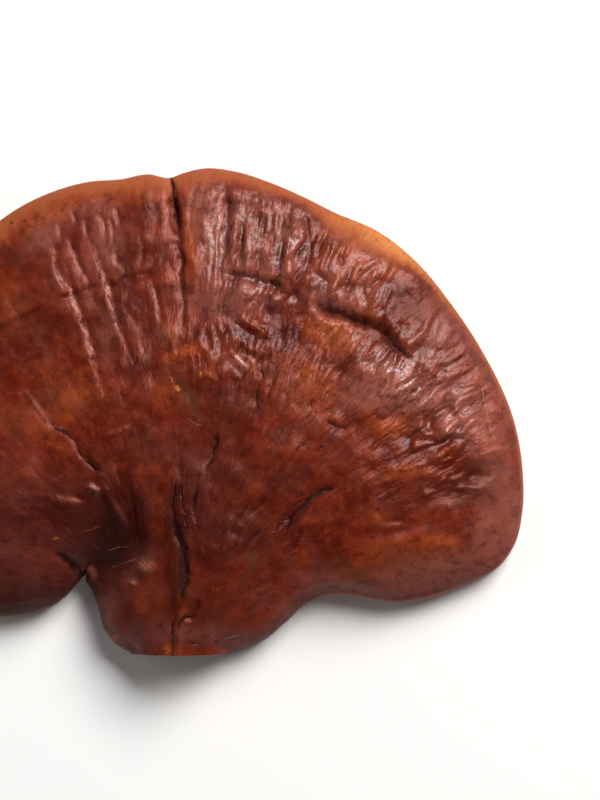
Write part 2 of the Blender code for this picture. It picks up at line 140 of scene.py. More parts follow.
# Plan points of the outline, the same as the solid's
CENTRE = np.array((-7.0, -5.5))
UMBO = np.array((-3.5, -54.8))  # the folds of the crust spread from here
OUTLINE: Rows = (
    (-6.6, 67.4), (-13, 68.4), (-20.8, 67), (-30.4, 66.2), (-40, 63.6), (-50.3, 58.8), (-60.8, 51),
    (-70.8, 40.9), (-82.9, 22), (-91.6, 1.7), (-94.8, -17.1), (-92.5, -33.1), (-85.3, -46.1),
    (-73.7, -54.8), (-62, -58.8), (-52, -59.2), (-44.1, -57.6), (-38.5, -55), (-34.8, -51.5),
    (-31.8, -47.8), (-31, -49.2), (-29.3, -52), (-27.4, -57), (-25.8, -62.8), (-22.2, -67.4), (-17, -70.3),
    (-8, -72.5), (2, -72.8), (9, -70.5), (14.8, -68.6), (20.8, -66), (26.4, -61.4), (34.2, -54.8),
    (41.5, -52.8), (50.3, -54), (57.1, -55.3), (66, -54.5), (77.6, -50.6), (88.2, -45.2), (92.6, -39.3),
    (95.2, -29), (95.3, -18), (93, -3.8), (83.6, 17.2), (74.8, 30.6), (63.8, 43.8), (53.4, 51.9),
    (41.2, 57.2), (32, 61.8), (22, 66.1), (11.7, 69.3), (3, 70.1), (-3, 68.7),
)

# Bearing from CENTRE, in degrees anticlockwise from +X, and width of the pale growing band there
BAND: Rows = (
    (-180, 3), (-150, 0.8), (-130, 0.4), (-95, 0.2), (-60, 0.4), (-35, 0.5), (-20, 0.6), (0, 0.7), (18, 0.9),
    (32, 1.6), (40, 3.7), (47, 4.4), (54, 2.3), (62, 1.6), (75, 2.9), (90, 3.2), (105, 3.2), (125, 3.5),
    (145, 4.2), (165, 4), (180, 3),
)

CREASES: tuple[Crease, ...] = (
    # The split runs in from the growing edge
    Crease((-6.7, 69.6, -6.4, 67, -5.8, 64.1, -5.2, 61.2, -4.6, 56.8, -4.3, 53.1, -3.5, 49), 1.9, 1.2,
           lip=0.4, start=1, end=0.3, scuff=0.4, ink=1.2),
    Crease((-3.5, 50.2, -2.9, 43.2, -3.2, 39.4, -2.9, 35.1, -2.3, 30.7, -2.6, 26.4, -2.3, 21.2), 1.2, 1.1,
           lip=0.5, start=0.2, scuff=0.5, ink=0.45),
    # Furrows between two seasons of growth, the outer one standing up as a roll
    Crease((-62.1, 17.7, -56.3, 22.3, -48.1, 26.7, -44.7, 28.7, -40, 31), 0.8, 1.4, lip=0.5, reach=7,
           ink=0.2),
    Crease((-39.4, 32.2, -34.5, 33.3, -30.2, 35.1, -27.3, 35.7, -22, 36), 0.5, 1.3, lip=0.25, reach=6,
           start=0.3, end=0.6),
    Crease((-23.2, 35.4, -20.3, 37.7, -17.1, 38, -14.2, 38.9, -8.7, 39.4), 0.5, 1.4, lip=0.25, reach=6,
           start=0.3),
    Crease((5.5, 40.6, 9, 39.4, 15.7, 38.6, 21.5, 36.5, 23.5, 36.8, 25.8, 34.5, 30.4, 33.1), 0.65, 1.5,
           lip=0.35, reach=7, end=0.4),
    Crease((34.2, 31.6, 37.1, 29.3, 40.6, 27.5, 43.8, 26.7, 48.1, 24.9, 52.5, 23.5, 54.5, 22.3), 2.2, 1.9,
           lip=0.7, reach=3.5, side=-1, ink=0.2),
    Crease((53.6, 23.2, 55.7, 21.2, 57.1, 19.4, 58, 17.7, 60.3, 16.5, 63.2, 14.8), 1, 1, lip=0.25, reach=3,
           side=-1, ink=1.2),
    Crease((12.8, 62.6, 18.6, 62.6, 22, 61.8, 26.4, 61.2, 30.7, 59.7), 0.3, 0.8, ink=0.35),
    # Creases and ridges of the shrunken crust, followed from the growing edge towards the stub
    Crease((-41.2, 51.9, -40, 47.8, -38.9, 45.5, -38.6, 42.9, -37.7, 39.4, -35.7, 36.5, -33.9, 34.8,
           -32.8, 31, -31.3, 27, -29.9, 23.5, -28.4, 19.1, -27.3, 14.2, -25.8, 7.8, -25.2, 5.5), 0.45, 1,
           lip=0.1, end=0.5, scuff=1.15),
    Crease((-28.7, 49.6, -27, 44.4, -25.5, 40.9, -24.4, 37.4, -23.2, 34.5, -22.6, 30.4, -21.2, 26.4,
           -19.7, 22, -18, 17.1, -17.1, 14.8), 0.45, 0.95, lip=0.1, end=0.5, scuff=1.1),
    Crease((-35.1, 51.9, -34.5, 47.6, -33.1, 44.9, -32.2, 41.5, -30.2, 38, -28.7, 34.5, -26.7, 29), 0.45,
           0.8, lip=0.2, scuff=0.6),
    Crease((-36.5, 43.2, -34.8, 37.4, -33.1, 33.9), 0.3, 0.8, scuff=0.35),
    Crease((-27, 57.7, -25.5, 53.6, -25.2, 48.4), 0.4, 0.8, scuff=0.5),
    Crease((-24.1, 56.5, -22.6, 50.8, -22.9, 47.3), 0.4, 0.8, scuff=0.45),
    Crease((-22, 58.9, -21.2, 55.4, -20.6, 52.2), 0.3, 0.8, scuff=0.4),
    Crease((-38.3, 54.8, -37.7, 49.6), 0.3, 0.8, scuff=0.3),
    Crease((-21.5, 47.8, -21.5, 44.7, -20.3, 42, -18.8, 39.1), 0.4, 0.8, scuff=0.5),
    Crease((-14.8, 51.3, -14.2, 46.1, -15.1, 40.6), 0.3, 0.7, scuff=0.35),
    Crease((-11.9, 38.6, -10.4, 34.5, -9.6, 29.3, -7.8, 22.6), 0.5, 0.8, scuff=0.6),
    Crease((-18, 35.7, -18.6, 31.3, -17.7, 28.7, -16.5, 25.8, -15.4, 21.5), 0.4, 0.8, scuff=0.45),
    Crease((-31, 56.5, -29.6, 48.4), 0.3, 0.8, scuff=0.3),
    Crease((-34.8, 58.9, -32.5, 52.5), 0.3, 0.8, scuff=0.25),
    Crease((-53.1, 33.9, -50.2, 28.7, -47.8, 22.9), 0.3, 1.2, scuff=0.2),
    Crease((5.5, 64.1, 9.3, 63.8), 0.3, 0.7, ink=0.8),
    Crease((9.6, 64.1, 9.9, 56.8, 9.9, 52.5, 9.3, 48.1, 9.9, 41.5), 1.3, 1.5, lip=0.5, start=0.3,
           scuff=0.9),
    Crease((12.2, 58.3, 12.5, 53.1, 12.2, 49.6, 11.6, 45.2, 11.3, 40.9), -0.7, 0.8, scuff=0.6),
    Crease((14.2, 55.4, 14.2, 49.6, 13.6, 43.2), 1, 1, lip=0.3, ink=0.3),
    Crease((20, 57.7, 18.8, 53.9, 17.7, 50.2), 0.7, 0.7, ink=0.5),
    Crease((21.8, 57.4, 20.9, 53.9, 19.4, 49.3), 0.7, 0.7, ink=0.5),
    Crease((32.5, 55.7, 33.1, 51, 31.6, 47.3, 27.8, 41.5), 1, 1, ink=0.5, start=0.4),
    Crease((31.6, 56, 32.2, 51.9, 30.7, 49.6, 29.3, 46.7, 27.5, 44.4, 25.2, 40.3), -0.9, 1.3),
    Crease((26.1, 50.8, 25.8, 46.7, 25.2, 42), 0.8, 0.9, ink=0.4),
    Crease((0.3, 44.4, 0.9, 38, 0.6, 31), -0.4, 0.8),
    Crease((4.3, 42.6, 4.1, 36.5, 4.6, 29.6), -0.5, 0.8),
    Crease((7, 40.6, 6.4, 35.1, 5.5, 25.8), -0.6, 0.8),
    Crease((20.6, 35.7, 21.2, 32.8, 20, 29.3, 19.7, 24.1), -0.7, 0.8),
    Crease((21.8, 34.5, 22, 31.3, 20.9, 24.9), 0.7, 0.8, ink=0.4),
    Crease((23.2, 35.4, 23.8, 29.9), -0.4, 0.8),
    Crease((22, 37.7, 24.6, 34.8), 0.5, 0.7, ink=0.9),
    Crease((36.2, 47.8, 35.4, 42.3, 33.6, 38, 31.6, 33.6), -0.6, 1.1),
    Crease((40.3, 49.3, 38.9, 45.2, 37.4, 42.3, 36.8, 36.8), -0.6, 1.1),
    Crease((45.8, 47.8, 44.1, 43.2, 42.6, 36.8), -0.5, 1),
    Crease((49.3, 44.9, 47.3, 40.3, 45.2, 35.1), -0.5, 1),
    Crease((53.4, 42, 51, 37.4, 48.7, 32.2), -0.5, 1),
    Crease((58, 36.8, 55.4, 32.2, 53.1, 28.1), -0.5, 1),
    Crease((37.1, 27, 43.8, 25.2, 48.1, 23.5, 53.4, 21.5), -0.3, 1, scuff=0.8),
    Crease((47.6, 21.8, 45.8, 18.3, 44.7, 14.2), -0.7, 0.8),
    Crease((56.8, 18.3, 55.7, 15.9, 53.6, 13.3), 0.6, 0.8, ink=0.4),
    Crease((58.6, 17.1, 58, 13.6, 57.1, 11, 55.1, 7.5), 0.7, 0.8, ink=0.4),
    # Small folds bunched in the middle of the cap
    Crease((11.6, 28.4, 15.7, 25.8, 18.6, 24.1, 21.5, 21.8, 23.5, 20), -0.8, 0.9),
    Crease((12.2, 25.2, 16.2, 22.9, 20.3, 20), 0.4, 0.8),
    Crease((-5.5, 21.2, -4.9, 18.3, -4.1, 14.2), -0.6, 0.8, scuff=0.4),
    Crease((1.4, 22.9, 2.6, 19.1, 4.6, 17.1, 5.5, 15.4, 6.4, 12.5), -0.8, 0.8, scuff=0.5),
    Crease((2.6, 11.6, 5.5, 9.6, 7.8, 8.4), -0.4, 0.6),
    Crease((10.4, 18, 13.3, 14.8, 15.4, 12.5, 16.8, 10.4), -0.8, 0.8, scuff=0.4),
    Crease((13.6, 16.8, 16.8, 14.2, 19.4, 11.6), -0.8, 0.8, scuff=0.4),
    Crease((11.9, 12.5, 13.6, 8.7), -0.5, 0.7),
    Crease((12.2, 21.8, 15.7, 18.8, 18.6, 17.1, 21.2, 15.1), -0.8, 0.8, scuff=0.4),
    Crease((16.8, 12.8, 18.3, 9.6, 19.1, 7.5), -0.6, 0.7),
    Crease((19.7, 14.2, 20.3, 9.6, 19.1, 6.7, 18.3, 3.2, 18, -0.6), 0.8, 0.9, ink=1),
    Crease((-4.9, 14.5, -2.9, 10.4, -2, 6.1, -0.3, 3.2, 0.9, 0.3, 2, -3.8), 0.1, 1),
    Crease((-1.7, -1.7, 1.7, -3.5, 4.1, -4.9), 0, 0.6, ink=-0.35),
    Crease((7.2, -4.9, 7, -8.4, 6.4, -11.3, 6.1, -13, 4.9, -14.8, 4.1, -18.8), 0.4, 0.8, ink=1.8),
    Crease((-11.3, 13, -11.3, 7.2), 0.3, 0.7, ink=0.5),
    Crease((-2.9, -14.5, -2.6, -21.2), 0.4, 0.9, ink=0.3),
    Crease((27.3, 2.3, 29.9, 0, 32.2, -2.3), -0.2, 0.6, ink=-0.4),
    Crease((34.5, 3.8, 34.5, 0.6), 0.4, 0.7, ink=0.8),
    Crease((37.7, -1.7, 40.3, -3.8, 43.2, -4.9, 45.8, -3.5), 0.7, 0.9, lip=0.4, ink=0.9),
    Crease((29, -12.5, 32.2, -9), 0.2, 0.7, ink=0.4),
    # Cracks around the stub
    Crease((-4.9, -18.8, -4.6, -22.3, -4.9, -25.8, -5.2, -29.3, -4.9, -32.8, -4.1, -36.2), 0.3, 0.9, end=1,
           ink=2.4),
    Crease((-3.8, -19.4, -2.9, -22.9, -2, -27, -2, -31.6), 0.3, 0.7, ink=1.1),
    Crease((-1.4, -27.5, -1.2, -32.2, -1.4, -36.8), 0.2, 0.7, ink=0.8),
    # the wide dark hairline of this crack also paints the shade in it
    Crease((-4.6, -28.7, -3.8, -34.5, -2.6, -38.9, -1.7, -43.2, -1.7, -47.6, -2.3, -51.3, -3.5, -55.4), 0.8,
           1.1, start=0.4, ink=6.5),
    Crease((2, -19.4, 1.4, -22.9, 1.2, -27.3, 1.4, -31.6, 2.3, -35.7), 0.3, 0.8, ink=1.4),
    Crease((-3.8, -53.6, -4.6, -58.3, -5.5, -61.2, -5.8, -65.5, -6.1, -72.2), 0.5, 0.8, end=0.8, ink=0.7),
    Crease((2, -52.5, 1.2, -56.3, 0.3, -58.3, -0.9, -61.5), 0.6, 0.8, ink=0.5),
    Crease((0.9, -58.6, -2.6, -59.7, -3.8, -61.8, -4.9, -63.8), 0.7, 0.8, ink=0.8),
    Crease((-6.1, -53.1, -5.5, -60), 0.4, 0.7, ink=0.4),
    Crease((14.2, -32.8, 12.8, -36.8, 10.4, -40.9), 0.3, 0.9, ink=0.8),
    Crease((21.5, -24.1, 19.7, -26.4, 15.9, -30.4), 0.3, 0.9, ink=0.9),
    Crease((19.4, -32.8, 17.7, -36, 16.2, -38.3, 15.4, -41.8), 0.3, 0.9, ink=0.9),
    Crease((21.2, -47.6, 18.6, -50.5, 16.8, -53.4), 0.5, 0.9, ink=0.4),
    Crease((38.9, -22, 36, -23.2, 34.5, -24.9, 32.2, -27, 30.2, -28.1, 28.7, -30.4, 27.8, -32.5,
           25.8, -36.5), 0.4, 1.1, start=0.7, ink=3.4),
    Crease((34.8, -24.6, 31.6, -25.8, 29.9, -26.7, 28.4, -28.7, 27, -30.7, 24.9, -32.5, 23.5, -33.6,
           21.2, -34.5), 0.3, 0.9, start=0.5, ink=1.8),
    Crease((32.2, -23.2, 29.3, -25.2), 0.3, 0.8, ink=1),
    Crease((31.9, -32.2, 30.2, -36.8, 27.8, -42), 0.3, 1, ink=0.7),
    Crease((-0.9, -66.7, 2.3, -66.7), 0.3, 0.6, ink=0.7),
    Crease((4.6, -66.4, 8.1, -66.1), 0.3, 0.6, ink=0.7),
    Crease((9.3, -65.5, 14.8, -65), 0.3, 0.6, ink=0.6),
    # Folds and ridges of the two lobes
    Crease((-48.7, 4.6, -47, 3.8, -45.2, 1.2, -42.9, -1.4, -41.2, -4.6, -38.3, -5.8, -36, -7.2,
           -34.2, -8.7), 0.15, 0.8, lip=0.12, reach=6, side=-1, start=0.4, scuff=1),
    Crease((-31.3, -13, -29, -15.1, -27.5, -16.8, -25.2, -18), 0.4, 1, ink=1.5),
    Crease((-18, -18.3, -17.4, -22.9, -16.5, -28.7, -15.7, -34.5, -13.6, -40.9), 0.5, 1.3, ink=0.9),
    Crease((-15.4, -20, -15.1, -24.4, -14.8, -29.3), 0.3, 0.8, ink=0.4),
    Crease((-22.6, -12.8, -21.2, -17.1, -19.7, -22.3), 0.3, 0.8, ink=0.6),
    Crease((16.8, -25.2, 14.2, -29.3, 12.2, -32.8, 10.7, -37.4), 0.3, 1, ink=1),
    Crease((9.3, -31.6, 7.8, -37.4, 7.2, -42), 0.3, 0.9, ink=0.5),
    Crease((-42.3, -1.4, -40, -4.6, -37.1, -5.8, -34.8, -7.2, -33.3, -9, -32.2, -11.9, -29.6, -13.6,
           -28.1, -15.9, -24.9, -18), 0.35, 0.8, lip=0.12, reach=6, side=-1, end=0.4, ink=1),
    Crease((-40, -40, -38.3, -40.9, -36.5, -42, -34.8, -43.8, -33.3, -45.8, -31.6, -49), 1.8, 1.5, lip=0.4,
           side=-1, end=1, ink=3),
    Crease((-25.2, -19.4, -24.4, -22.9, -22.6, -26.1, -20.9, -29, -19.4, -31.9, -18.6, -35.7), -1, 1.1),
    Crease((-31.9, -34.5, -25.5, -32.5), 0, 0.5, ink=-0.35),
    Crease((-25.5, -40, -21.5, -39.1, -15.7, -38), 0, 0.5, ink=-0.35),
    Crease((-24.9, -44.9, -20, -43.5, -16.2, -42.3, -11.6, -40.9), 0, 0.5, ink=-0.35),
    Crease((-30.2, -20.6, -27.8, -22, -25.5, -23.8), -0.9, 1),
    Crease((-40, -24.6, -36.5, -25.2, -33.9, -25.8, -31.3, -27, -29, -28.4), -0.8, 1),
    Crease((-25.8, -7, -21.5, -5.5, -17.4, -4.1), -0.4, 0.8, scuff=0.3),
    Crease((-15.1, 18.6, -14.2, 13), -0.5, 0.8, scuff=0.5),
    Crease((-20, 15.7, -19.7, 11.6), -0.4, 0.8, scuff=0.4),
    Crease((65, -4.9, 68.4, -1.2, 71.3, 0.9, 73.1, 2.3, 75.7, 4.9), 1.6, 1.7, lip=0.8),
    Crease((68.4, -9.6, 72.2, -8.7, 74.2, -7.5, 77.7, -6.1), 1.2, 1.4, lip=0.6),
    Crease((69.3, -5.2, 72.8, -2.3, 74.5, -0.3), -0.8, 0.8, scuff=0.4),
    Crease((71, -6.1, 74.2, -3.8, 75.4, -1.7), -0.8, 0.8, scuff=0.4),
    Crease((70.8, -6.7, 74.8, -6.4, 78, -5.5), -0.7, 0.8, scuff=0.4),
    Crease((76, 2.9, 75.4, 1.2, 76, -0.6, 78.9, -2.9), -0.8, 0.7, scuff=0.4),
    Crease((62.9, -10.4, 67, -6.7, 69.3, -5.8), -0.7, 0.8),
    Crease((62.6, -11, 67, -9.3, 68.4, -8.4), -0.6, 0.7),
    Crease((54.5, -17.4, 59.7, -16.2, 64.1, -16.2, 67, -14.5, 69, -13.9), -0.5, 1),
    Crease((67.3, -15.1, 74.2, -10.1, 80, -8.1), -0.8, 1.6),
    Crease((78.9, -14.8, 85.8, -11.9, 91.6, -9.9), -0.7, 1.2),
    Crease((73.4, -20.6, 76.6, -19.1, 80, -17.4), -0.6, 0.9),
    Crease((75.4, -23.2, 78.6, -21.8, 84.1, -21.8), -0.6, 0.9),
    Crease((77.7, -20, 81.8, -18.3, 86.4, -18.8), 0.8, 1.6),
    Crease((65.2, -22.6, 69.3, -24.1), -0.4, 0.8),
    Crease((69, -20.9, 73.7, -19.1), -0.4, 0.8),
    Crease((72.2, -25.8, 74.8, -29, 78, -31.6), -0.4, 0.9),
    Crease((51.3, -28.7, 53.4, -31.6, 55.1, -34.5), -0.4, 0.8),
    Crease((82.4, 10.1, 83.5, 5.2, 84.7, 0.3, 85.8, -4.9, 86.4, -10.1), 0.15, 1, lip=0.1, ink=-0.45),
    Crease((85.3, -22.9, 85.3, -29.3, 84.1, -35.7), 0.12, 1.2, lip=0.08, ink=-0.25),
    Crease((54.5, -33.3, 60.6, -32.5), -0.4, 0.8),
    Crease((42.3, -37.4, 53.9, -33.6, 67, -31.6, 80, -33.9), 0.4, 3, lip=0.2, reach=8),
)

# A rise, and a place where a mask is strong, is a soft ellipse: x and y of its middle, its two radii, its
# turn in degrees and its height
RISES: Rows = (
    (-21.5, -37.5, 8, 9.5, 20, -5.4),  # hollow beside the stub
    (-30.5, -45.5, 7, 7, 0, -2.2),  # its mouth at the notch
    (-60, -28, 22, 16, -20, 2.2),  # belly of the small lobe
    (3.5, 11, 14, 11, 20, 1.3),  # folded patch in the middle
    (-6.4, 22.9, 2.8, 2.6, 0, 1),  # knob at the foot of the split
    (10, -44, 9, 17, -10, 1.7),  # shoulder of the stub
    (58, -41, 24, 9, 8, 1.8),  # belly of the large lobe
    (58, 8.5, 12, 9, -30, 1.1),  # glossy swelling below the furrow
    (80, -16.5, 5, 3.6, 10, -1.1),  # dimple by the edge of the large lobe
    (58, -8, 12, 5, 20, -0.8),
    (30, 6, 9, 7, -30, 1.1),
    (24, -14, 12, 8, 50, 1),
    (-62, 11, 12, 7, 30, 1),
    (-45, 42, 9, 8, -30, 1),
    (-12.8, -45.2, 2.4, 1.7, 20, 0.9),  # glossy knobs beside the hollow
    (-16.6, -49.2, 1.2, 0.9, 0, 0.5),
)

# Masks that tint the crust, among them painted shade and painted sheen; where their ellipses overlap they
# may add up to more than 1
TINTS = (Mask.WARM, Mask.DUSK, Mask.PLUM, Mask.PAINTED_SHEEN)
PATCHES: dict[Mask, Rows] = {
    Mask.WRINKLE: (
        (16.2, 48.1, 18, 21.8, 0, 1), (49.6, 32.2, 24.6, 18, -38, 1), (65.5, 5.5, 17.4, 15.7, 0, 0.85),
        (75.7, -9, 13, 8.7, 0, 0.4), (29.3, 7.5, 15.1, 13.3, 0, 0.38), (9, 17.7, 14.5, 8.7, 0, 0.5),
        (-21.5, 35.1, 17.4, 23.2, 10, 0.16), (58.3, -17.1, 15.9, 8.7, 0, 0.25),
        (60.3, 29.9, 7, 5.8, -38, -0.6), (54.5, 21.5, 5.8, 3.2, -35, -1),
    ),
    Mask.SMOOTH: (
        (-0.3, 53.1, 2, 13, 0, 0.8), (-44.7, 40.9, 14.5, 13, 0, 0.8), (-43.2, -8.4, 17.4, 17.4, 0, 0.8),
        (-4.1, -54.8, 26.1, 20.3, 0, 0.8), (88.7, -17.1, 7.2, 26.1, 0, 0.6),
        (71.9, 27, 7.5, 11.6, 25, 0.65), (53.9, -43.2, 31.9, 11.6, 0, 0.6), (10.4, -1.2, 11.6, 8.7, 0, 0.6),
        (-73.7, 3.2, 23.2, 43.5, 0, 0.8),
    ),
    # Painted glints, pale, with some wear
    Mask.WEAR_AND_GLINT: (
        (-28.1, -22.6, 1.4, 1.2, -40, 0.5), (29.6, 13.9, 6.4, 3.5, 20, 0.25),
        (31.6, -0.3, 5.2, 2.6, -35, 0.3), (-36.5, -25.2, 3.5, 0.9, -15, 0.4),
        (-13.3, -44.1, 2.3, 1.7, -35, 0.8), (-16.8, -49, 1.4, 0.7, -20, 0.7),
        (-7.8, 58.9, 0.9, 5.2, 0, 0.7), (-5.2, 21.8, 4.1, 2.6, 0, 0.45), (15.1, 13.6, 5.8, 3.2, -35, 0.6),
        (-14.2, 15.9, 2.3, 2.9, 0, 0.4), (28.7, 10.4, 7.5, 4.1, -30, 0.12), (55.7, 9, 6.4, 4.1, -30, 0.4),
        (74.5, -1.4, 3.5, 2.6, 40, 0.8), (70.5, 4.3, 4.9, 3.2, 0, 0.4), (80, -4.3, 4.1, 3.2, 0, 0.35),
        (60.9, 4.3, 11.6, 3.5, -4, 0.55), (2, 61.8, 2.6, 7, 0, 0.45), (51.6, -10.4, 3.2, 1.7, 0, 0.5),
        (46.7, -5.5, 2.9, 1.2, 0, 0.4), (6.4, 51, 2.6, 10.4, 0, 0.5), (-12.2, 7.5, 2.3, 2.3, 0, 0.3),
    ),
    Mask.GLOSS: (
        (55.7, 10.4, 8.1, 5.8, -20, 1), (60.3, 5.5, 11.6, 4.3, -4, 1), (73.4, -4.1, 5.2, 4.1, 30, 0.9),
        (48.7, 1.7, 4.1, 4.1, 0, 0.6), (29, 46.1, 2.6, 5.5, -15, 0.9), (6.7, 51.9, 2.3, 9.9, 0, 0.7),
        (15.1, 13.6, 5.8, 3.5, -35, 0.7), (-12.8, -44.9, 2.9, 2.6, 30, 1), (-16.8, -49, 1.4, 1.2, 0, 1),
        (-28.7, -22, 2.6, 2.6, 0, 0.5), (19.7, 33.6, 4.6, 5.2, 0, 0.5), (71.3, 22, 4.6, 4.1, -40, 0.4),
    ),
    Mask.WARM: (
        (50.5, 43.2, 13.9, 7, -32, 1), (40.9, 49.6, 8.7, 7.5, -20, 0.2), (-50.8, 28.7, 7.5, 8.7, 0, 0.55),
        (-33.3, 4.6, 7.5, 5.2, 0, 0.6), (-8.1, 5.5, 5.2, 5.2, 0, 0.5), (58, -4.1, 8.1, 3.8, 0, 0.9),
        (45.8, -47, 5.8, 2.9, -10, 0.5), (53.6, -30.2, 5.2, 4.1, 0, 0.4), (-42, 13.3, 4.9, 4.1, 0, 0.5),
        (-42, 57.4, 7, 3.5, 25, 0.5), (71.3, -38.9, 7, 4.1, 0, 0.5), (45.2, 32.2, 5.8, 3.5, -30, 0.6),
        (40.9, 21.8, 9.3, 4.9, -15, 1.1), (32.2, 7.5, 12.8, 12.2, -20, 0.45),
        (-0.3, 53.9, 2.6, 12.8, 0, 0.7), (54.5, -43.2, 20.3, 7.5, 10, 0.35),
        (85.8, -2.6, 5.8, 15.9, 0, 0.4), (-48.1, -2, 12.2, 6.4, -10, 0.45), (-12.8, -54.8, 6.4, 7, 0, 0.4),
        (-38.9, 56.8, 17.4, 4.1, 25, 0.5), (-15.7, 62.6, 14.5, 3.5, 5, 0.5),
        (61.2, -17.1, 8.1, 2.9, 8, 0.5), (6.1, 19.1, 5.8, 4.1, 0, 0.5),
    ),
    # Darker tone, and painted shade in the hollow beside the stub, along cracks and on the lower edges
    Mask.DUSK: (
        (-45.8, -30.2, 17.4, 11.6, 0, 0.55), (-50.5, -56, 20.3, 6.4, 10, 1.2),
        (-34.8, -30.4, 7, 2.9, -20, 0.8), (-24.1, -35.4, 7.2, 12.5, 10, 2.2),
        (-44.1, -25.2, 6.4, 0.7, 0, 0.8), (-42.3, -27.8, 7.5, 0.7, 2, 0.7),
        (-44.1, -30.4, 5.8, 0.7, 4, 0.6), (-16.8, -28.7, 2.6, 12.2, 8, 1.2), (-4.9, -38.9, 2, 13.9, 0, 1.1),
        (3.2, -66.4, 17.4, 4.1, 0, 0.3), (1.7, -64.1, 4.6, 4.6, 0, 0.7), (62.1, 31, 7, 4.3, -38, 0.8),
        (54.2, 22, 5.2, 3.2, -35, 1.1), (27.5, 22, 4.6, 4.1, 0, 1), (13.3, 21.8, 13.3, 3.8, 0, 0.65),
        (44.9, -13, 4.6, 3.8, 0, 0.5), (1.7, 22, 3.8, 3.5, 0, 0.4), (36, 13, 4.3, 3.5, 0, 0.9),
        (55.1, 21.8, 4.1, 2.3, -35, 0.9), (36.2, 47.8, 4.1, 3.8, 0, 0.6), (-33.3, 48.1, 4.1, 3.8, 0, 0.5),
        (-5.2, -43.2, 1.4, 9.9, 4, 0.9), (32.5, -27, 6.4, 1.4, 48, 1), (6.1, -17.1, 8.7, 11.6, 0, 0.35),
        (12.8, -36, 16.2, 9.9, 0, 0.9), (19.7, -17.1, 18.6, 8.7, 0, 0.55), (9.9, 2.6, 9.9, 7.5, 0, 0.7),
        (-18.6, -4.1, 13.9, 12.8, 0, 0.4), (-49, 22, 13.9, 12.2, 0, 0.45), (80, -21.8, 9.9, 5.2, 10, 1.1),
        (60.3, -25.2, 17.4, 5.8, 5, 0.55), (9.6, 52.5, 1.4, 12.2, 0, 0.8), (45.8, 27, 10.4, 1.7, -25, 0.6),
        (9, -56.3, 11.6, 8.7, 0, 0.35), (-4.1, -34.5, 8.7, 14.5, 0, 0.4), (27.3, 52.5, 2.6, 2.3, 0, 0.9),
        (16.2, 37.7, 9.9, 1.7, -12, 0.7), (-73.7, -2.6, 20.3, 40.6, 0, 0.3),
    ),
    Mask.PLUM: (
        (60.3, 32.8, 7.5, 5.8, -35, 1.3), (72.8, 25.8, 7.5, 10.4, 25, 0.7), (23.5, 29, 2.6, 4.3, 0, 0.8),
        (-12.8, -9.9, 7.5, 4.9, 0, 0.7), (-1.2, -11.9, 7, 4.1, 0, 0.6), (-1.2, -25.2, 3.8, 8.1, 0, 0.9),
        (75.7, 3.2, 6.4, 6.4, 0, 0.45), (82.1, -17.7, 4.3, 4.9, 0, 0.7),
        (-34.2, -41.5, 10.4, 4.1, -42, 2.4), (-44.7, -47.6, 14.5, 7.5, 10, 1),
        (-49, -37.4, 26.1, 20.3, 0, 1.2), (-36, 40.9, 20.3, 17.4, 0, 0.35),
        (-18.6, 26.4, 11.6, 14.5, 0, 0.6), (-18.6, 53.9, 11.6, 11.6, 0, 0.3),
        (-15.7, -57.7, 11.6, 11.6, 0, 0.2), (-17.1, -62.3, 9.3, 4.3, 0, 0.5),
        (-12.8, -27.3, 2.3, 7.5, 0, 0.9), (16.2, 49.6, 11, 13, 0, 0.45), (0.6, -25.8, 5.2, 8.7, 0, 0.9),
        (19.7, -37.4, 6.4, 8.1, 30, 0.7), (13.3, 32.2, 11.6, 5.8, 0, 0.35),
        (-46.1, -43.2, 11.6, 4.6, 0, 0.6), (1.7, -65.2, 17.4, 3.5, 0, 0.4), (-21.5, -43.2, 7.2, 5.8, 0, 0.6),
    ),
    # Painted sheen: pale mauve where the lacquer catches the light; below 0 it is taken away
    Mask.PAINTED_SHEEN: (
        (6.7, 49.6, 4.1, 17.4, 0, 0.9), (21.5, 49.6, 12.2, 15.9, -10, 0.9), (46.7, 39.4, 18, 11, -38, 0.65),
        (60.6, 4.1, 15.7, 4.3, 0, 1.1), (61.5, 30.4, 7, 5.8, -38, -1), (54.2, 21.8, 5.2, 3.5, -35, -0.9),
        (36.2, 47.8, 4.3, 4.1, 0, -0.7), (27.5, 22, 4.6, 4.1, 0, -0.6), (14.8, 20.9, 12.2, 3.5, 0, -0.4),
        (-33.3, 48.1, 4.1, 4.1, 0, -0.4), (88.4, -38.9, 4.6, 4.6, 0, 0.5), (-7.2, 22, 4.1, 3.5, 0, 0.4),
        (-24.6, 13.3, 4.1, 3.8, 0, 0.4), (2.6, 57.7, 3.8, 8.7, 0, 0.6), (8.1, 30.7, 10.4, 4.6, 0, 0.9),
        (-24.6, 48.1, 7, 7, 0, 0.6), (36.5, 31.3, 4.6, 3.8, 0, 0.9), (45.8, 4.9, 4.1, 3.5, 0, 0.7),
        (-24.4, -56.5, 3.5, 5.2, 0, 1), (80, -4.1, 5.8, 5.8, 0, 0.7), (59.7, 5.5, 11.6, 4.9, -4, 1),
        (1.7, 61.8, 4.1, 7, 0, 0.7), (18.6, 53.6, 4.9, 7.5, 0, 0.5), (-24.6, 22, 4.1, 4.1, 0, 0.5),
        (-7, 48.1, 2.3, 6.4, 0, 0.6), (-52.8, -39.7, 6.4, 5.2, 0, 0.35), (45.2, 31.3, 5.2, 2.9, -30, 0.5),
        (45.2, 17.7, 8.7, 4.1, -25, 0.3), (71.3, 23.5, 9.9, 11.6, 25, 0.8),
        (57.4, 10.4, 9.9, 6.4, -20, 0.7), (-20.9, -28.4, 1.2, 4.6, 24, 0.45),
        (85.3, -5.5, 8.1, 21.8, 8, 0.9), (74.2, -2.6, 5.8, 4.6, 20, 0.6), (-8.1, 49.6, 2, 17.4, 0, 0.25),
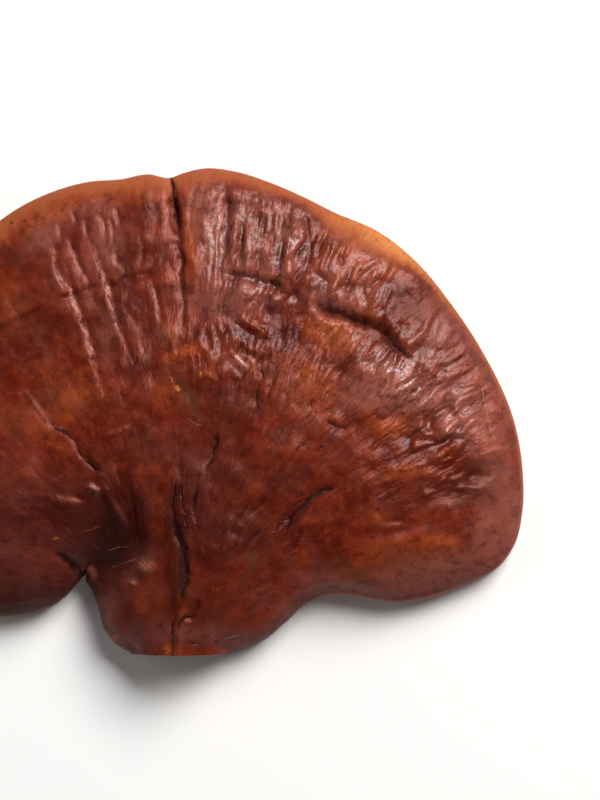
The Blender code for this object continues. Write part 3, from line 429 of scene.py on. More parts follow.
        (10.4, 32.2, 9.9, 8.7, 0, 0.5), (-30.7, 43.2, 11.6, 14.5, 20, 0.3),
        (88.7, -34.5, 7.5, 11.6, -20, 1.1), (71.3, -46.7, 18, 5.2, 12, 1.3),
        (43.8, -50.2, 14.5, 3.5, -8, 0.9), (-43.2, 49.6, 7.5, 4.1, 30, 0.8),
        (-29.6, 58.6, 11.6, 2.6, 8, 0.5), (-15.7, -64.7, 13.3, 4.6, 5, 0.7),
        (9, -64.7, 14.5, 3.8, -8, 0.55), (24.9, -56.5, 9.9, 3.5, -30, 0.5),
        (-29.6, -46.1, 2.6, 2.6, -40, 0.6),
    ),
    Mask.ORANGE: (
        (-6.4, 15.4, 5.8, 2.6, 20, 0.5), (0.3, 17.7, 3.8, 2.6, 25, 0.5), (34.2, 11.3, 9.3, 7.5, -25, 0.5),
        (-38.9, -9.6, 7, 2.3, -15, 0.45), (-7, -68.1, 1.7, 2.3, 0, 0.65),
        (-22.6, -65.5, 1.7, 1.4, -50, 0.7), (-14.2, -53.4, 4.6, 4.1, 0, 0.1), (3.2, -39.4, 2, 2.3, 0, 0.4),
        (7, -50.2, 2.6, 1.7, 0, 0.4), (66.7, -37.4, 2.3, 0.9, 0, 0.5), (74.2, -37.4, 2.3, 1.2, 20, 0.5),
        (30.7, -37.4, 4.6, 2.9, 40, 0.3),
    ),
    Mask.YELLOW: (
        (-4.1, 6.4, 0.9, 1.2, 30, 0.8), (-5.8, 9, 0.6, 1.4, 25, 0.6), (2.6, 10.7, 0.6, 1.3, 0, 0.7),
        (-39.1, -36.5, 1.2, 0.6, 5, 0.55), (-25.5, -59.2, 0.5, 0.5, 0, 0.6), (-7.2, -69.3, 1, 0.7, 0, 0.45),
        (12.8, 24.1, 0.6, 0.8, 0, 0.6), (34.8, -0.6, 0.6, 0.6, 0, 0.6), (26.4, 7.5, 1.4, 0.6, 40, 0.5),
    ),
    Mask.OLIVE: (
        (-2.3, 7.2, 1.6, 4.9, 22, 0.8), (1.2, 0.3, 1.4, 4.3, 18, 0.75), (17.7, -43.2, 3.2, 4.6, 0, 0.6),
        (14.5, -48.4, 1.7, 2.6, 0, 0.5),
    ),
    # Painted shade in the hollow, pits and cracks and on the lower edge of the small lobe, and a few dark
    # dots
    Mask.DARK: (
        (37.1, -10.1, 0.9, 0.7, 0, 1), (48.4, -40.6, 0.7, 0.6, 0, 1), (-52.2, 54.2, 0.6, 0.6, 0, 1),
        (-48.4, 54.8, 0.9, 0.6, 0, 0.8), (61.5, 16.2, 2, 1, -25, 1), (-24.9, -34.5, 5.8, 8.7, 0, 0.55),
        (-23.2, -42, 6.1, 4.6, 0, 0.65), (-33.3, -46.1, 2.3, 1.4, -50, 0.9), (27.3, 52.8, 1.4, 1.4, 0, 0.6),
        (-51.9, -57.4, 17.4, 2.6, 8, 0.5), (-2.9, -44.4, 1.3, 7.8, 0, 0.9),
        (33.3, -25.8, 4.3, 0.8, 42, 0.6), (39.1, -9.9, 0.7, 0.6, 0, 0.5),
    ),
}


def smooth_ramp(value: Array, low: float, high: float) -> Array:
    """Ease between two levels: 0 up to low, 1 from high, and a cubic rise between them.

    Args:
        value: the numbers to ease.
        low: where the rise starts.
        high: where it ends.

    Returns:
        The eased numbers, from 0 to 1.
    """
    share = np.clip((value - low) / (high - low), 0.0, 1.0)
    return share * share * (3.0 - 2.0 * share)


def lattice_noise(x: Array, y: Array, seed: int) -> Array:
    """Smooth noise: random values on a unit lattice, eased between its four corners.

    Args:
        x: first coordinate, in lattice steps.
        y: second coordinate, in lattice steps.
        seed: seed of the lattice's values.

    Returns:
        Noise from -1 to 1.
    """
    table = np.random.default_rng(seed).uniform(-1.0, 1.0, (LATTICE, LATTICE))
    column, row = np.floor(x).astype(int), np.floor(y).astype(int)
    across, along = smooth_ramp(x - column, 0.0, 1.0), smooth_ramp(y - row, 0.0, 1.0)

    def level(up: int) -> Array:
        """Value between the two corners on one side of each point's lattice cell."""
        left, right = (table[(column + step) % LATTICE, (row + up) % LATTICE] for step in (0, 1))
        return left * (1.0 - across) + right * across

    return level(0) * (1.0 - along) + level(1) * along


def curve_through(line: tuple[float, ...], per_span: int = 5) -> Array:
    """Smooth open line through given points, as a Catmull-Rom curve.

    Args:
        line: x and y of each point in turn.
        per_span: points made for each span between two of them.

    Returns:
        The line's points, one a row.
    """
    given = np.array(line, float).reshape(-1, 2)
    padded = np.vstack((2.0 * given[0] - given[1], given, 2.0 * given[-1] - given[-2]))
    t = np.linspace(0.0, 1.0, per_span, endpoint=False)[:, None]
    spans = [
        0.5 * (2.0 * b + (c - a) * t + (2.0 * a - 5.0 * b + 4.0 * c - d) * t ** 2
               + (3.0 * b - a - 3.0 * c + d) * t ** 3)
        for a, b, c, d in zip(padded, padded[1:], padded[2:], padded[3:])
    ]
    return np.vstack((*spans, given[-1]))


def measure_to_line(plan: Array, line: Array) -> tuple[Array, Array]:
    """Distance of points to a line, by dropping each onto every segment and keeping the nearest foot.

    Args:
        plan: the points, one a row.
        line: the line's points, one a row.

    Returns:
        The distance, positive on the left of the line, and the share of the line's length at the foot.
    """
    start, span = line[:-1], np.diff(line, axis=0)
    length = np.hypot(*span.T)
    travelled = np.concatenate(((0.0,), np.cumsum(length)))
    away = plan[:, None, :] - start
    share = np.clip((away * span).sum(2) / length ** 2, 0.0, 1.0)
    gap = away - share[:, :, None] * span
    distance = np.hypot(gap[:, :, 0], gap[:, :, 1])
    nearest = distance.argmin(1)
    pick = np.arange(len(plan)), nearest
    side = span[nearest, 0] * away[pick][:, 1] - span[nearest, 1] * away[pick][:, 0]
    along = (travelled[nearest] + share[pick] * length[nearest]) / travelled[-1]
    return np.where(side < 0.0, -1.0, 1.0) * distance[pick], along


def from_umbo(plan: Array) -> tuple[Array, Array]:
    """Bearing of points from the umbo, in radians clockwise from +Y, and their distance from it."""
    across, along = (plan - UMBO).T
    return np.arctan2(across, along), np.hypot(across, along)


def around_centre(angle: Array, radius: Array) -> Array:
    """Plan points, one a row, at these angles and radii about CENTRE."""
    return CENTRE + radius[:, None] * np.column_stack((np.cos(angle), np.sin(angle)))


def soft_ellipse(plan: Array, *row: float) -> Array:
    """Height of one soft ellipse: a bell that falls with the square of the turned distance.

    Args:
        plan: the points, one a row.
        row: the ellipse's six numbers.

    Returns:
        The height at each point.
    """
    x, y, wide, deep, degrees, height = row
    turn = math.radians(degrees)
    right, up = (plan - (x, y)).T
    across = (right * math.cos(turn) + up * math.sin(turn)) / wide
    along = (up * math.cos(turn) - right * math.sin(turn)) / deep
    return height * np.exp(-(across ** 2 + along ** 2))


def box_blur(grid: Array, reach: int) -> Array:
    """Mean of each value's square neighbourhood, from running sums along both directions.

    Args:
        grid: the values.
        reach: cells on each side of a value that count.

    Returns:
        The blurred values.
    """
    for _ in range(2):
        padded = np.pad(grid, ((reach + 1, reach), (0, 0)), mode="edge").cumsum(0)
        grid = ((padded[2 * reach + 1:] - padded[:-2 * reach - 1]) / (2 * reach + 1)).T
    return grid


class CapOutline:
    """Plan of the cap: radius about CENTRE as a smooth function of the angle, cut across the stub."""

    def __init__(self, cut_y: float) -> None:
        """Take the outline's points as angles and radii, with slopes for the cubic between them.

        Args:
            cut_y: where the straight cut lies.
        """
        self.cut_y = cut_y
        arm = np.array(OUTLINE) - CENTRE
        angle, radius = np.unwrap(np.arctan2(arm[:, 1], arm[:, 0])), np.hypot(*arm.T)
        self.angle = np.concatenate((angle[-2:] - TURN, angle, angle[:2] + TURN))
        self.radius = np.concatenate((radius[-2:], radius, radius[:2]))
        step = np.diff(self.angle)
        rate = np.diff(self.radius) / step
        self.slope = (rate[:-1] * step[1:] + rate[1:] * step[:-1]) / (step[:-1] + step[1:])

    def grown_radius(self, angle: Array) -> Array:
        """Radius before the cut: a cubic between two plan points that matches the slope at both.

        Args:
            angle: bearings from CENTRE, in radians.

        Returns:
            The radii.
        """
        first = self.angle[2]
        angle = first + np.mod(angle - first, TURN)
        span = np.clip(np.searchsorted(self.angle, angle, side="right") - 1, 2, len(self.angle) - 3)
        step = self.angle[span + 1] - self.angle[span]
        t = (angle - self.angle[span]) / step
        from_slope, to_slope = self.slope[span - 1] * step, self.slope[span] * step
        return (
            self.radius[span] * (1.0 + 2.0 * t) * (1.0 - t) ** 2
            + from_slope * t * (1.0 - t) ** 2
            + self.radius[span + 1] * t ** 2 * (3.0 - 2.0 * t)
            + to_slope * t ** 2 * (t - 1.0)
        )

    def cut_radius(self, angle: Array) -> Array:
        """Radius with the stub cut off: no more than reaches the straight line of the cut."""
        downward = np.minimum(np.sin(angle), -LEVEL)
        return np.minimum(self.grown_radius(angle), (self.cut_y - CENTRE[1]) / downward)

    def grown_line(self, samples: int) -> Array:
        """Growing edge as an open line between the corners of the cut.

        Args:
            samples: points all the way round.

        Returns:
            The line's points, one a row.
        """
        angle = np.linspace(0.0, TURN, samples, endpoint=False) - 0.25 * TURN
        line = around_centre(angle, self.grown_radius(angle))
        kept = line[:, 1] > self.cut_y
        first = int(np.flatnonzero(kept & ~np.roll(kept, 1))[0])
        return np.roll(line, -first, axis=0)[np.roll(kept, -first)]


@dataclass(frozen=True)
class CrustRelief:
    """Height of the crust over the pore face, and the masks that go with it."""

    rim_height: float = 4.0
    edge_body: float = 10.5
    stub_body: float = 21.0
    body_reach: float = 125.0
    edge_reach: float = 45.0
    edge_roundness: float = 2.4
    relief_fade: float = 4.0
    seed: int = 5722
    pleat_height: float = 1.25
    spread: tuple[float, float] = (25.0, 70.0)  # from the umbo, where the folds set in and are full
    taper_in: float = 0.25  # share of a crease's line over which it deepens
    taper_out: float = 0.65  # share of it from which it runs out
    steep: float = 0.75  # breadth of its two sides, over its width
    gentle: float = 1.35
    groove_power: float = 1.6
    room: float = 3.0  # how far a crease acts, over its width or its lip's reach
    lip_from: float = -0.5  # where the lip sets in and is full, in widths from the line
    lip_full: float = 1.5
    core_shift: float = 0.1  # the painted shade at the bottom of a crease and the painted glint, with some wear, on its gentle flank, in widths
    core_width: float = 0.6
    flank_width: float = 0.75
    crevice_from: float = 0.7
    crevice_full: float = 3.0
    hairline_reach: float = 1.7
    hairline_full: float = 0.6  # share of that reach within which it has its full strength
    no_hairline: float = 9.0  # side distance where there is none
    unevenness: float = 0.35
    uneven_mm: float = 3.1
    plain_share: float = 0.20  # how much of the folds shows on even crust
    wrinkled_share: float = 0.55  # how much more shows on wrinkled crust
    pleat_floor: float = 0.5
    pleat_sway: float = 0.030
    pleat_sway_mm: float = 9.0
    # Each noise below starts with its strength and ends with its step from the seed. Between them stand:
    # folds a radian, shift, and length of a fold
    folds: Rows = ((0.55, 17.0, 0.0, 26.0, 0), (0.45, 31.0, 9.0, 17.0, 1))
    # width of a ring, waves a radian, and shift
    rings: tuple[float, ...] = (0.30, 7.0, 2.2, 5.0, 2)
    # size across and along
    lumps: Rows = ((0.50, 13.0, 11.0, 3), (0.28, 6.0, 5.5, 4), (0.10, 2.9, 2.9, 13))
    # pleats a radian and length of a pleat
    pleat_rows: Rows = ((0.8, 30.0, 11.0, 6), (0.8, 52.0, 7.0, 7))
    # size, and shift across and along
    sways: Rows = ((0.35, 4.3, 7.0, 0.0, 0), (0.22, 1.7, 0.0, 3.0, 1))
    sway_steps: tuple[int, int] = (8, 10)  # for the movement across and along
    uneven_step: int = 12
    pleat_sway_step: int = 5

    def noise(self, x: Array, y: Array, step: int) -> Array:
        """One of the noises of the relief, by its step from the seed."""
        return lattice_noise(x, y, self.seed + step)

    def dried(self, plan: Array, wrinkle: Array) -> Array:
        """Wrinkles that spread from the umbo, rings of growth across them, and low lumps: sums of noise.

        Args:
            plan: the points, one a row.
            wrinkle: the wrinkle mask.

        Returns:
            The height that they add.
        """
        bearing, far = from_umbo(plan)
        x, y = plan.T
        wrinkles = sum(strength * self.noise(bearing * count + shift, far / length, step)
                       for strength, count, shift, length, step in self.folds)
        strength, width, count, shift, step = self.rings
        rings = strength * self.noise(far / width, bearing * count + shift, step)
        lumps = sum(strength * self.noise(x / wide, y / deep, step)
                    for strength, wide, deep, step in self.lumps)
        shown = self.plain_share + self.wrinkled_share * wrinkle
        return smooth_ramp(far, *self.spread) * (wrinkles * shown + rings) + lumps

    def pleats(self, plan: Array) -> Array:
        """Fine pleats about 3 mm apart: the size of noise stretched along the folds, sharp where it is 0.

        Args:
            plan: the points, one a row.

        Returns:
            The pleats' height, in pleat heights.
        """
        bearing, far = from_umbo(plan)
        sway = self.noise(*(plan / self.pleat_sway_mm).T, self.pleat_sway_step)
        bearing = bearing + self.pleat_sway * sway
        pleats = sum(strength * np.abs(self.noise(bearing * count, far / length, step))
                     for strength, count, length, step in self.pleat_rows)
        return pleats - self.pleat_floor

    def swayed(self, plan: Array) -> Array:
        """Points moved a little by noise, so that creases along given lines wander.

        Args:
            plan: the points, one a row.

        Returns:
            The moved points.
        """
        x, y = plan.T
        moves = [
            sum(strength * self.noise(x / size + right, y / size + up, first + step)
                for strength, size, right, up, step in self.sways)
            for first in self.sway_steps
        ]
        return plan + np.column_stack(moves)

    def cut_crease(self, plan: Array, crease: Crease) -> Masks:
        """One crease: a bell-shaped groove with unequal sides, a lip on its steep side, and tapered ends.

        Args:
            plan: the points, one a row.
            crease: the crease.

        Returns:
            The height it adds as RIDGE, how deep in it each point lies, how pale its gentle flank is painted
            as a glint with some wear, and the hairline along it.
        """
        line = curve_through(crease.line)
        width, room = crease.width, self.room * max(crease.width, crease.reach)
        near = np.all((plan > line.min(0) - room) & (plan < line.max(0) + room), axis=1)
        side, along = measure_to_line(plan[near], line)
        side *= crease.side
        rise = crease.start + (1.0 - crease.start) * smooth_ramp(along, 0.0, self.taper_in)
        fall = crease.end + (1.0 - crease.end) * (1.0 - smooth_ramp(along, self.taper_out, 1.0))
        taper = rise * fall
        breadth = width * np.where(side > 0.0, self.steep, self.gentle)
        groove = np.exp(-(np.abs(side) / breadth) ** self.groove_power)
        lip = np.exp(-(np.maximum(side, 0.0) / crease.reach) ** 2)
        lip *= smooth_ramp(side, self.lip_from * width, self.lip_full * width)
        core = flank = np.exp(-(np.abs(side + self.core_shift * width) / (self.core_width * width)) ** 2)
        if crease.depth >= 0.0:
            flank = np.exp(-((side + width) / (self.flank_width * width)) ** 2)
        full_reach = self.hairline_full * self.hairline_reach
        hairline = smooth_ramp(np.abs(side), self.hairline_reach, full_reach)
        found = {
            Mask.RIDGE: taper * (crease.lip * lip - crease.depth * groove),
            Mask.CREVICE: taper * core * smooth_ramp(crease.depth, self.crevice_from, self.crevice_full),
            Mask.WEAR_AND_GLINT: taper * flank * crease.scuff,
            Mask.SIDE: side,
            Mask.INK: crease.ink * taper * hairline,
        }
        full = {mask: np.zeros(len(plan)) for mask in found}
        for mask, value in found.items():
            full[mask][near] = value
        return full

    def height(self, plan: Array, edge: Array, masks: Masks) -> tuple[Array, Masks]:
        """Height of the crust, and the masks of its creases.

        A superellipse climbs from the widest line over edge_reach, scaled by a body that thins away from
        the stub, and the relief of the dried crust is added to it once the edge is passed.

        Args:
            plan: the points, one a row.
            edge: their distance from the growing edge.
            masks: the masks that depend on the plan alone.

        Returns:
            The heights, and the crevice, scuff, side and ink masks.
        """
        wrinkle = masks[Mask.WRINKLE]
        thinned = smooth_ramp(from_umbo(plan)[1], 0.0, self.body_reach)
        gained = (self.stub_body - self.edge_body) * (1.0 - thinned)
        inward = np.clip(edge / self.edge_reach, 0.0, 1.0)
        climb = (1.0 - (1.0 - inward) ** self.edge_roundness) ** (1.0 / self.edge_roundness)
        relief = self.dried(plan, wrinkle) + self.pleat_height * wrinkle * self.pleats(plan)
        creased = {mask: np.zeros(len(plan)) for mask in (Mask.CREVICE, Mask.WEAR_AND_GLINT, Mask.INK)}
        creased[Mask.SIDE] = np.full(len(plan), self.no_hairline)
        swayed = self.swayed(plan)
        uneven = 1.0 + self.unevenness * self.noise(*(plan / self.uneven_mm).T, self.uneven_step)
        for crease in CREASES:
            cut = self.cut_crease(swayed, crease)
            relief += cut[Mask.RIDGE] * uneven
            for mask in (Mask.CREVICE, Mask.WEAR_AND_GLINT):
                creased[mask] = np.maximum(creased[mask], cut[mask] * uneven)
            stronger = np.abs(cut[Mask.INK]) > np.abs(creased[Mask.INK])
            for mask in (Mask.SIDE, Mask.INK):
                creased[mask] = np.where(stronger, cut[mask], creased[mask])
        for row in RISES:
            relief += soft_ellipse(plan, *row)
        fade = smooth_ramp(edge, 0.0, self.relief_fade)
        return self.rim_height + (self.edge_body + gained) * climb + relief * fade, creased


@dataclass
class Mushroom:
    """The whole fruiting body as one closed piece: crust, growing edge, pore face and cut."""

    cut_y: float = -69.9
    cells: int = 296
    outline_samples: int = 900
    batches: int = 60
    under_rings: int = 7
    under_round: float = 3.5
    under_fade: float = 6.0
    pore_border: float = 8.0
    crowding: tuple[float, float] = (1.3, 0.3)  # of the grid's rows near the edge
    tint_limit: float = 1.5
    wrinkle_start: tuple[float, float] = (0.8, 2.4)  # in widths of the pale band
    smoothing: float = 0.7
    sun_bearing: float = 41.0
    sun_spread: float = 10.0
    sun_reach: tuple[float, float] = (2.0, 8.0)  # from the edge, where the sunlit rim fades and ends
    shade_bearing: float = -95.0
    shade_reach: tuple[float, float] = (60.0, 35.0)  # degrees from it where the shade sets in and is full
    ridge_blur: int = 7
    ridge_full: float = 0.55
    ridge_start: tuple[float, float] = (2.0, 6.0)  # from the edge
    growth_radius_cm: float = 9.0
    sharp_degrees: float = 72.0
    relief: CrustRelief = CrustRelief()

    def plan_grid(self, outline: CapOutline) -> Array:
        """Square grid laid into the outline, its rows closer together near the edge.

        A square becomes a disc by shrinking each coordinate by the other's square, and the disc's radius is
        scaled from a circle in the middle to the outline at the edge.

        Args:
            outline: plan of the cap.

        Returns:
            The plan points, one a row.
        """
        side = np.linspace(-1.0, 1.0, self.cells + 1)
        u, v = np.meshgrid(side, side)
        disc_x, disc_y = u * np.sqrt(1.0 - 0.5 * v ** 2), v * np.sqrt(1.0 - 0.5 * u ** 2)
        angle = np.arctan2(disc_y, disc_x).ravel()
        share = np.minimum(np.hypot(disc_x, disc_y).ravel(), 1.0)
        share = share * (self.crowding[0] - self.crowding[1] * share)
        mean = outline.radius.mean()
        return around_centre(angle, share * (mean + (outline.cut_radius(angle) - mean) * share))

    def border(self) -> Array:
        """Indices of the grid's border points, anticlockwise from above."""
        index = np.arange((self.cells + 1) ** 2).reshape(self.cells + 1, -1)
        return np.concatenate((index[0, :-1], index[:-1, -1], index[-1, :0:-1], index[:0:-1, 0]))

    def tuck_in(self, border: Array) -> list[Array]:
        """Rings from the widest line down to the pore face: a quarter round, and a straight wall at the cut.

        Args:
            border: the widest line's points, one a row.

        Returns:
            The rings, the last of which lies on the pore face a little way in.
        """
        inward = CENTRE - border[:, :2]
        inward /= np.hypot(*inward.T)[:, None]
        tuck = self.under_round * smooth_ramp(border[:, 1] - self.cut_y, 0.0, self.under_fade)
        rings = []
        for ring in range(1, self.under_rings + 1):
            turn = 0.25 * TURN * ring / self.under_rings
            plan = border[:, :2] + (tuck * (1.0 - math.cos(turn)))[:, None] * inward
            rings.append(np.column_stack((plan, border[:, 2] * (1.0 - math.sin(turn)))))
        plan = rings[-1][:, :2] + self.pore_border * inward
        return [*rings, np.column_stack((plan, np.zeros(len(border))))]

    def paint_masks(self, plan: Array, edge: Array) -> Masks:
        """Masks that depend on the plan alone.

        Args:
            plan: the points, one a row.
            edge: their distance from the growing edge.

        Returns:
            A number for each point, by mask.
        """
        masks = {}
        for mask, rows in PATCHES.items():
            limit = self.tint_limit if mask in TINTS else 1.0
            masks[mask] = np.clip(sum(soft_ellipse(plan, *row) for row in rows), 0.0, limit)
        arm = plan - CENTRE
        bearing = np.degrees(np.arctan2(arm[:, 1], arm[:, 0]))
        masks[Mask.EDGE] = edge
        masks[Mask.MARGIN] = edge / np.interp(bearing, *np.transpose(BAND))
        smoothed = 1.0 - self.smoothing * masks[Mask.SMOOTH]
        masks[Mask.WRINKLE] *= smooth_ramp(masks[Mask.MARGIN], *self.wrinkle_start) * smoothed
        # painted light on the edge that faces the lamp, and painted shade on the lower edge
        sunlit = np.exp(-((bearing - self.sun_bearing) / self.sun_spread) ** 2)
        sunlit *= 1.0 - smooth_ramp(edge, *self.sun_reach)
        masks[Mask.SUN_AND_SHADE] = sunlit - smooth_ramp(np.abs(bearing - self.shade_bearing), *self.shade_reach)
        return masks

    def build(self) -> bpy.types.Object:
        """Build the piece in the place of its solid.

        Returns:
            The finished object, with its masks, its growth map and no materials yet.
        """
        outline = CapOutline(self.cut_y)
        plan = self.plan_grid(outline)
        line = outline.grown_line(self.outline_samples)
        batches = np.array_split(plan, self.batches)
        edge = np.concatenate([np.abs(measure_to_line(batch, line)[0]) for batch in batches])
        masks = self.paint_masks(plan, edge)
        height, creased = self.relief.height(plan, edge, masks)
        creased[Mask.WEAR_AND_GLINT] = np.maximum(creased[Mask.WEAR_AND_GLINT], masks[Mask.WEAR_AND_GLINT])
        masks.update(creased)
        grid = height.reshape(self.cells + 1, -1)
        rise = (grid - box_blur(grid, self.ridge_blur)).ravel() / self.ridge_full
        masks[Mask.RIDGE] = np.clip(rise, -1.0, 1.0) * smooth_ramp(edge, *self.ridge_start)
        masks[Mask.UNDER] = np.zeros(len(plan))

        top = np.column_stack((plan, height))
        border = self.border()
        rings = self.tuck_in(top[border])
        points = np.vstack((top, *rings, (*CENTRE, 0.0)))
        source = np.concatenate((np.arange(len(plan)), *[border] * len(rings), [len(plan) // 2]))
        values = {mask: value[source] for mask, value in masks.items()}
        ring_share = np.repeat(np.minimum(np.arange(1, len(rings) + 1) / self.under_rings, 1.0), len(border))
        values[Mask.UNDER][len(plan):] = np.append(ring_share, 1.0)
        values[Mask.BELOW] = np.maximum(height[source] - points[:, 2], 0.0)
        values[Mask.EDGE][-len(border) - 1:-1] = self.pore_border
        return self.make_mesh(points, values, border, len(rings))

    def make_mesh(self, points: Array, values: Masks, border: Array, rings: int) -> bpy.types.Object:
        """Join the points into a closed mesh, faces outward, and store the masks and the growth map.

        Args:
            points: the grid, then the rings under it, then the middle of the pore face.
            values: the masks at each point.
            border: indices of the grid's border.
            rings: how many rings there are.

        Returns:
            The object, in metres and in the place of its solid.
        """
        count = self.cells + 1
        cell = np.arange(count * count).reshape(count, count)[:-1, :-1].ravel()
        quads = [np.column_stack((cell, cell + 1, cell + count + 1, cell + count))]
        upper = border
        for ring in range(rings):
            lower = count * count + ring * len(border) + np.arange(len(border))
            quads.append(np.column_stack((lower, np.roll(lower, -1), np.roll(upper, -1), upper)))
            upper = lower
        fan = np.column_stack((np.roll(upper, -1), upper, np.full(len(upper), len(points) - 1)))
        squares = np.vstack(quads)
        mesh = bpy.data.meshes.new("reishi_mushroom")
        mesh.from_pydata(self.place(points).tolist(), [], squares.tolist() + fan.tolist())

        slots = np.full(len(squares) + len(fan), int(Surface.PORES), np.int32)
        slots[:len(cell) + (self.under_rings - 1) * len(border)] = Surface.CRUST
        at_cut = np.all(points[squares, 1] < self.cut_y + SLACK, axis=1)
        slots[:len(squares)][at_cut] = Surface.CUT
        mesh.polygons.foreach_set("material_index", slots)
        for mask, value in values.items():
            attribute = mesh.attributes.new(mask.value, "FLOAT", "POINT")
            attribute.data.foreach_set("value", value.astype(np.float32))
        self.map_growth(mesh, points)
        mesh.shade_smooth()
        mesh.set_sharp_from_angle(angle=math.radians(self.sharp_degrees))
        mesh.validate()
        piece = bpy.data.objects.new("reishi_mushroom", mesh)
        bpy.context.scene.collection.objects.link(piece)
        log.info("%s: %d points, %d faces", piece.name, len(mesh.vertices), len(mesh.polygons))
        return piece

    def place(self, points: Array) -> Array:
        """Bring points to metres, drawn in to the solid's box and with the plan's middle over the box's.

        Args:
            points: the points, in millimetres.

        Returns:
            The points where the solid is.
        """
        low, high = (np.array(corner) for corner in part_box("mushroom"))
        placed = points * MM
        placed[:, :2] *= min(1.0, *(high - low)[:2] / np.ptp(placed[:, :2], axis=0))
        shift = 0.5 * (low + high) - 0.5 * (placed.min(0) + placed.max(0))
        placed[:, :2] += shift[:2]
        return placed

    def map_growth(self, mesh: bpy.types.Mesh, points: Array) -> None:
        """Store the Growth map: bearing from the umbo times a mean radius, and distance from it, in cm.

        Args:
            mesh: the piece's mesh.
            points: its points, in millimetres.
        """
        bearing, far = from_umbo(points[:, :2])
        growth = np.column_stack((bearing * self.growth_radius_cm, far * MM / CM))
        corners = np.empty(len(mesh.loops), np.int32)
        mesh.loops.foreach_get("vertex_index", corners)
        mesh.uv_layers.new(name="Growth").data.foreach_set("uv", growth[corners].astype(np.float32).ravel())


def linear(*screen: int) -> Rgba:
    """Screen colour as linear light: a power of 2.4 above a short straight toe.

    Args:
        screen: red, green and blue, from 0 to 255.

    Returns:
        The colour, opaque.
    """
    share = np.array(screen) / 255.0
    light = np.where(share <= 0.04045, share / 12.92, ((share + 0.055) / 1.055) ** 2.4)
    return (*light.tolist(), 1.0)


class NodeSheet:
    """Lays nodes into one tree. A value is a number, a colour, a vector or another node's output."""

    def __init__(self, tree: bpy.types.NodeTree) -> None:
        """Work on this tree."""
        self.tree = tree

    def feed(self, socket: Socket, value: Any) -> None:
        """Link an output to a socket, or set the socket's own value.

        Args:
            socket: the input.
            value: what it takes.
        """
        if isinstance(value, Socket):
            self.tree.links.new(value, socket)
        else:
            socket.default_value = value

    def add(self, kind: str, inputs: Optional[dict] = None, **settings: Any) -> bpy.types.Node:
        """Add one node.

        Args:
            kind: Blender's name of the node type, less its ShaderNode.
            inputs: values by the input's name or place.
            settings: the node's own properties.

        Returns:
            The node.
        """
        node = self.tree.nodes.new("ShaderNode" + kind)
        for name, value in settings.items():
            setattr(node, name, value)
        for key, value in (inputs or {}).items():
            self.feed(node.inputs[key], value)
        return node

    def sum(self, operation: str, *terms: Any) -> Socket:
        """Output of one Math node, such as ADD."""
        return self.add("Math", dict(enumerate(terms)), operation=operation).outputs[0]

    def times(self, first: Any, second: Any, plus: Any = None) -> Socket:
        """Product of two values, with a third one added if there is one.

        Args:
            first: one value.
            second: the other.
            plus: what is added, if anything.

        Returns:
            The node's output.
        """
        if plus is None:
            return self.sum("MULTIPLY", first, second)
        return self.sum("MULTIPLY_ADD", first, second, plus)

    def about_zero(self, value: Any) -> Socket:
        """A noise less its mean of a half."""
        return self.sum("SUBTRACT", value, 0.5)

    def ramp(self, value: Any, low: Any, high: Any, start: Any = 0.0, end: Any = 1.0) -> Socket:
        """Ease a value from start, up to low, to end, from high."""
        inputs = {"Value": value, "From Min": low, "From Max": high, "To Min": start, "To Max": end}
        return self.add("MapRange", inputs, interpolation_type="SMOOTHSTEP").outputs[0]

    def mix(self, share: Any, first: Any, second: Any) -> Socket:
        """Blend two colours: the first where share is 0, the second where it is 1."""
        return self.add("Mix", {0: share, 6: first, 7: second}, data_type="RGBA").outputs[2]

    def tint(self, colour: Any, value: Any, low: float, high: float, strength: float, tone: Any) -> Socket:
        """Lay a tone over a colour, up to a strength, as a value goes from low to high."""
        return self.mix(self.ramp(value, low, high, 0.0, strength), colour, tone)

    def scaled(self, vector: Any, x: float = 1.0, y: float = 1.0, z: float = 1.0) -> Socket:
        """A vector with each coordinate times its own factor."""
        return self.add("VectorMath", {0: vector, 1: (x, y, z)}, operation="MULTIPLY").outputs[0]

    def noise(self, vector: Any, scale: Any, detail: float = 2.0, roughness: float = 0.5,
              distortion: float = 0.0) -> Socket:
        """Value of one Noise texture, from about 0.25 to 0.75.

        Args:
            vector: where it is read.
            scale: its scale.
            detail: how many finer layers it has.
            roughness: how strong these are.
            distortion: how far it is bent.

        Returns:
            The value.
        """
        inputs = {"Vector": vector, "Scale": scale, "Detail": detail, "Roughness": roughness,
                  "Distortion": distortion}
        return self.add("TexNoise", inputs).outputs["Fac"]

    def use(self, group: bpy.types.NodeTree, **inputs: Any) -> Socket:
        """First output of a node group placed in this tree."""
        return self.add("Group", inputs, node_tree=group).outputs[0]


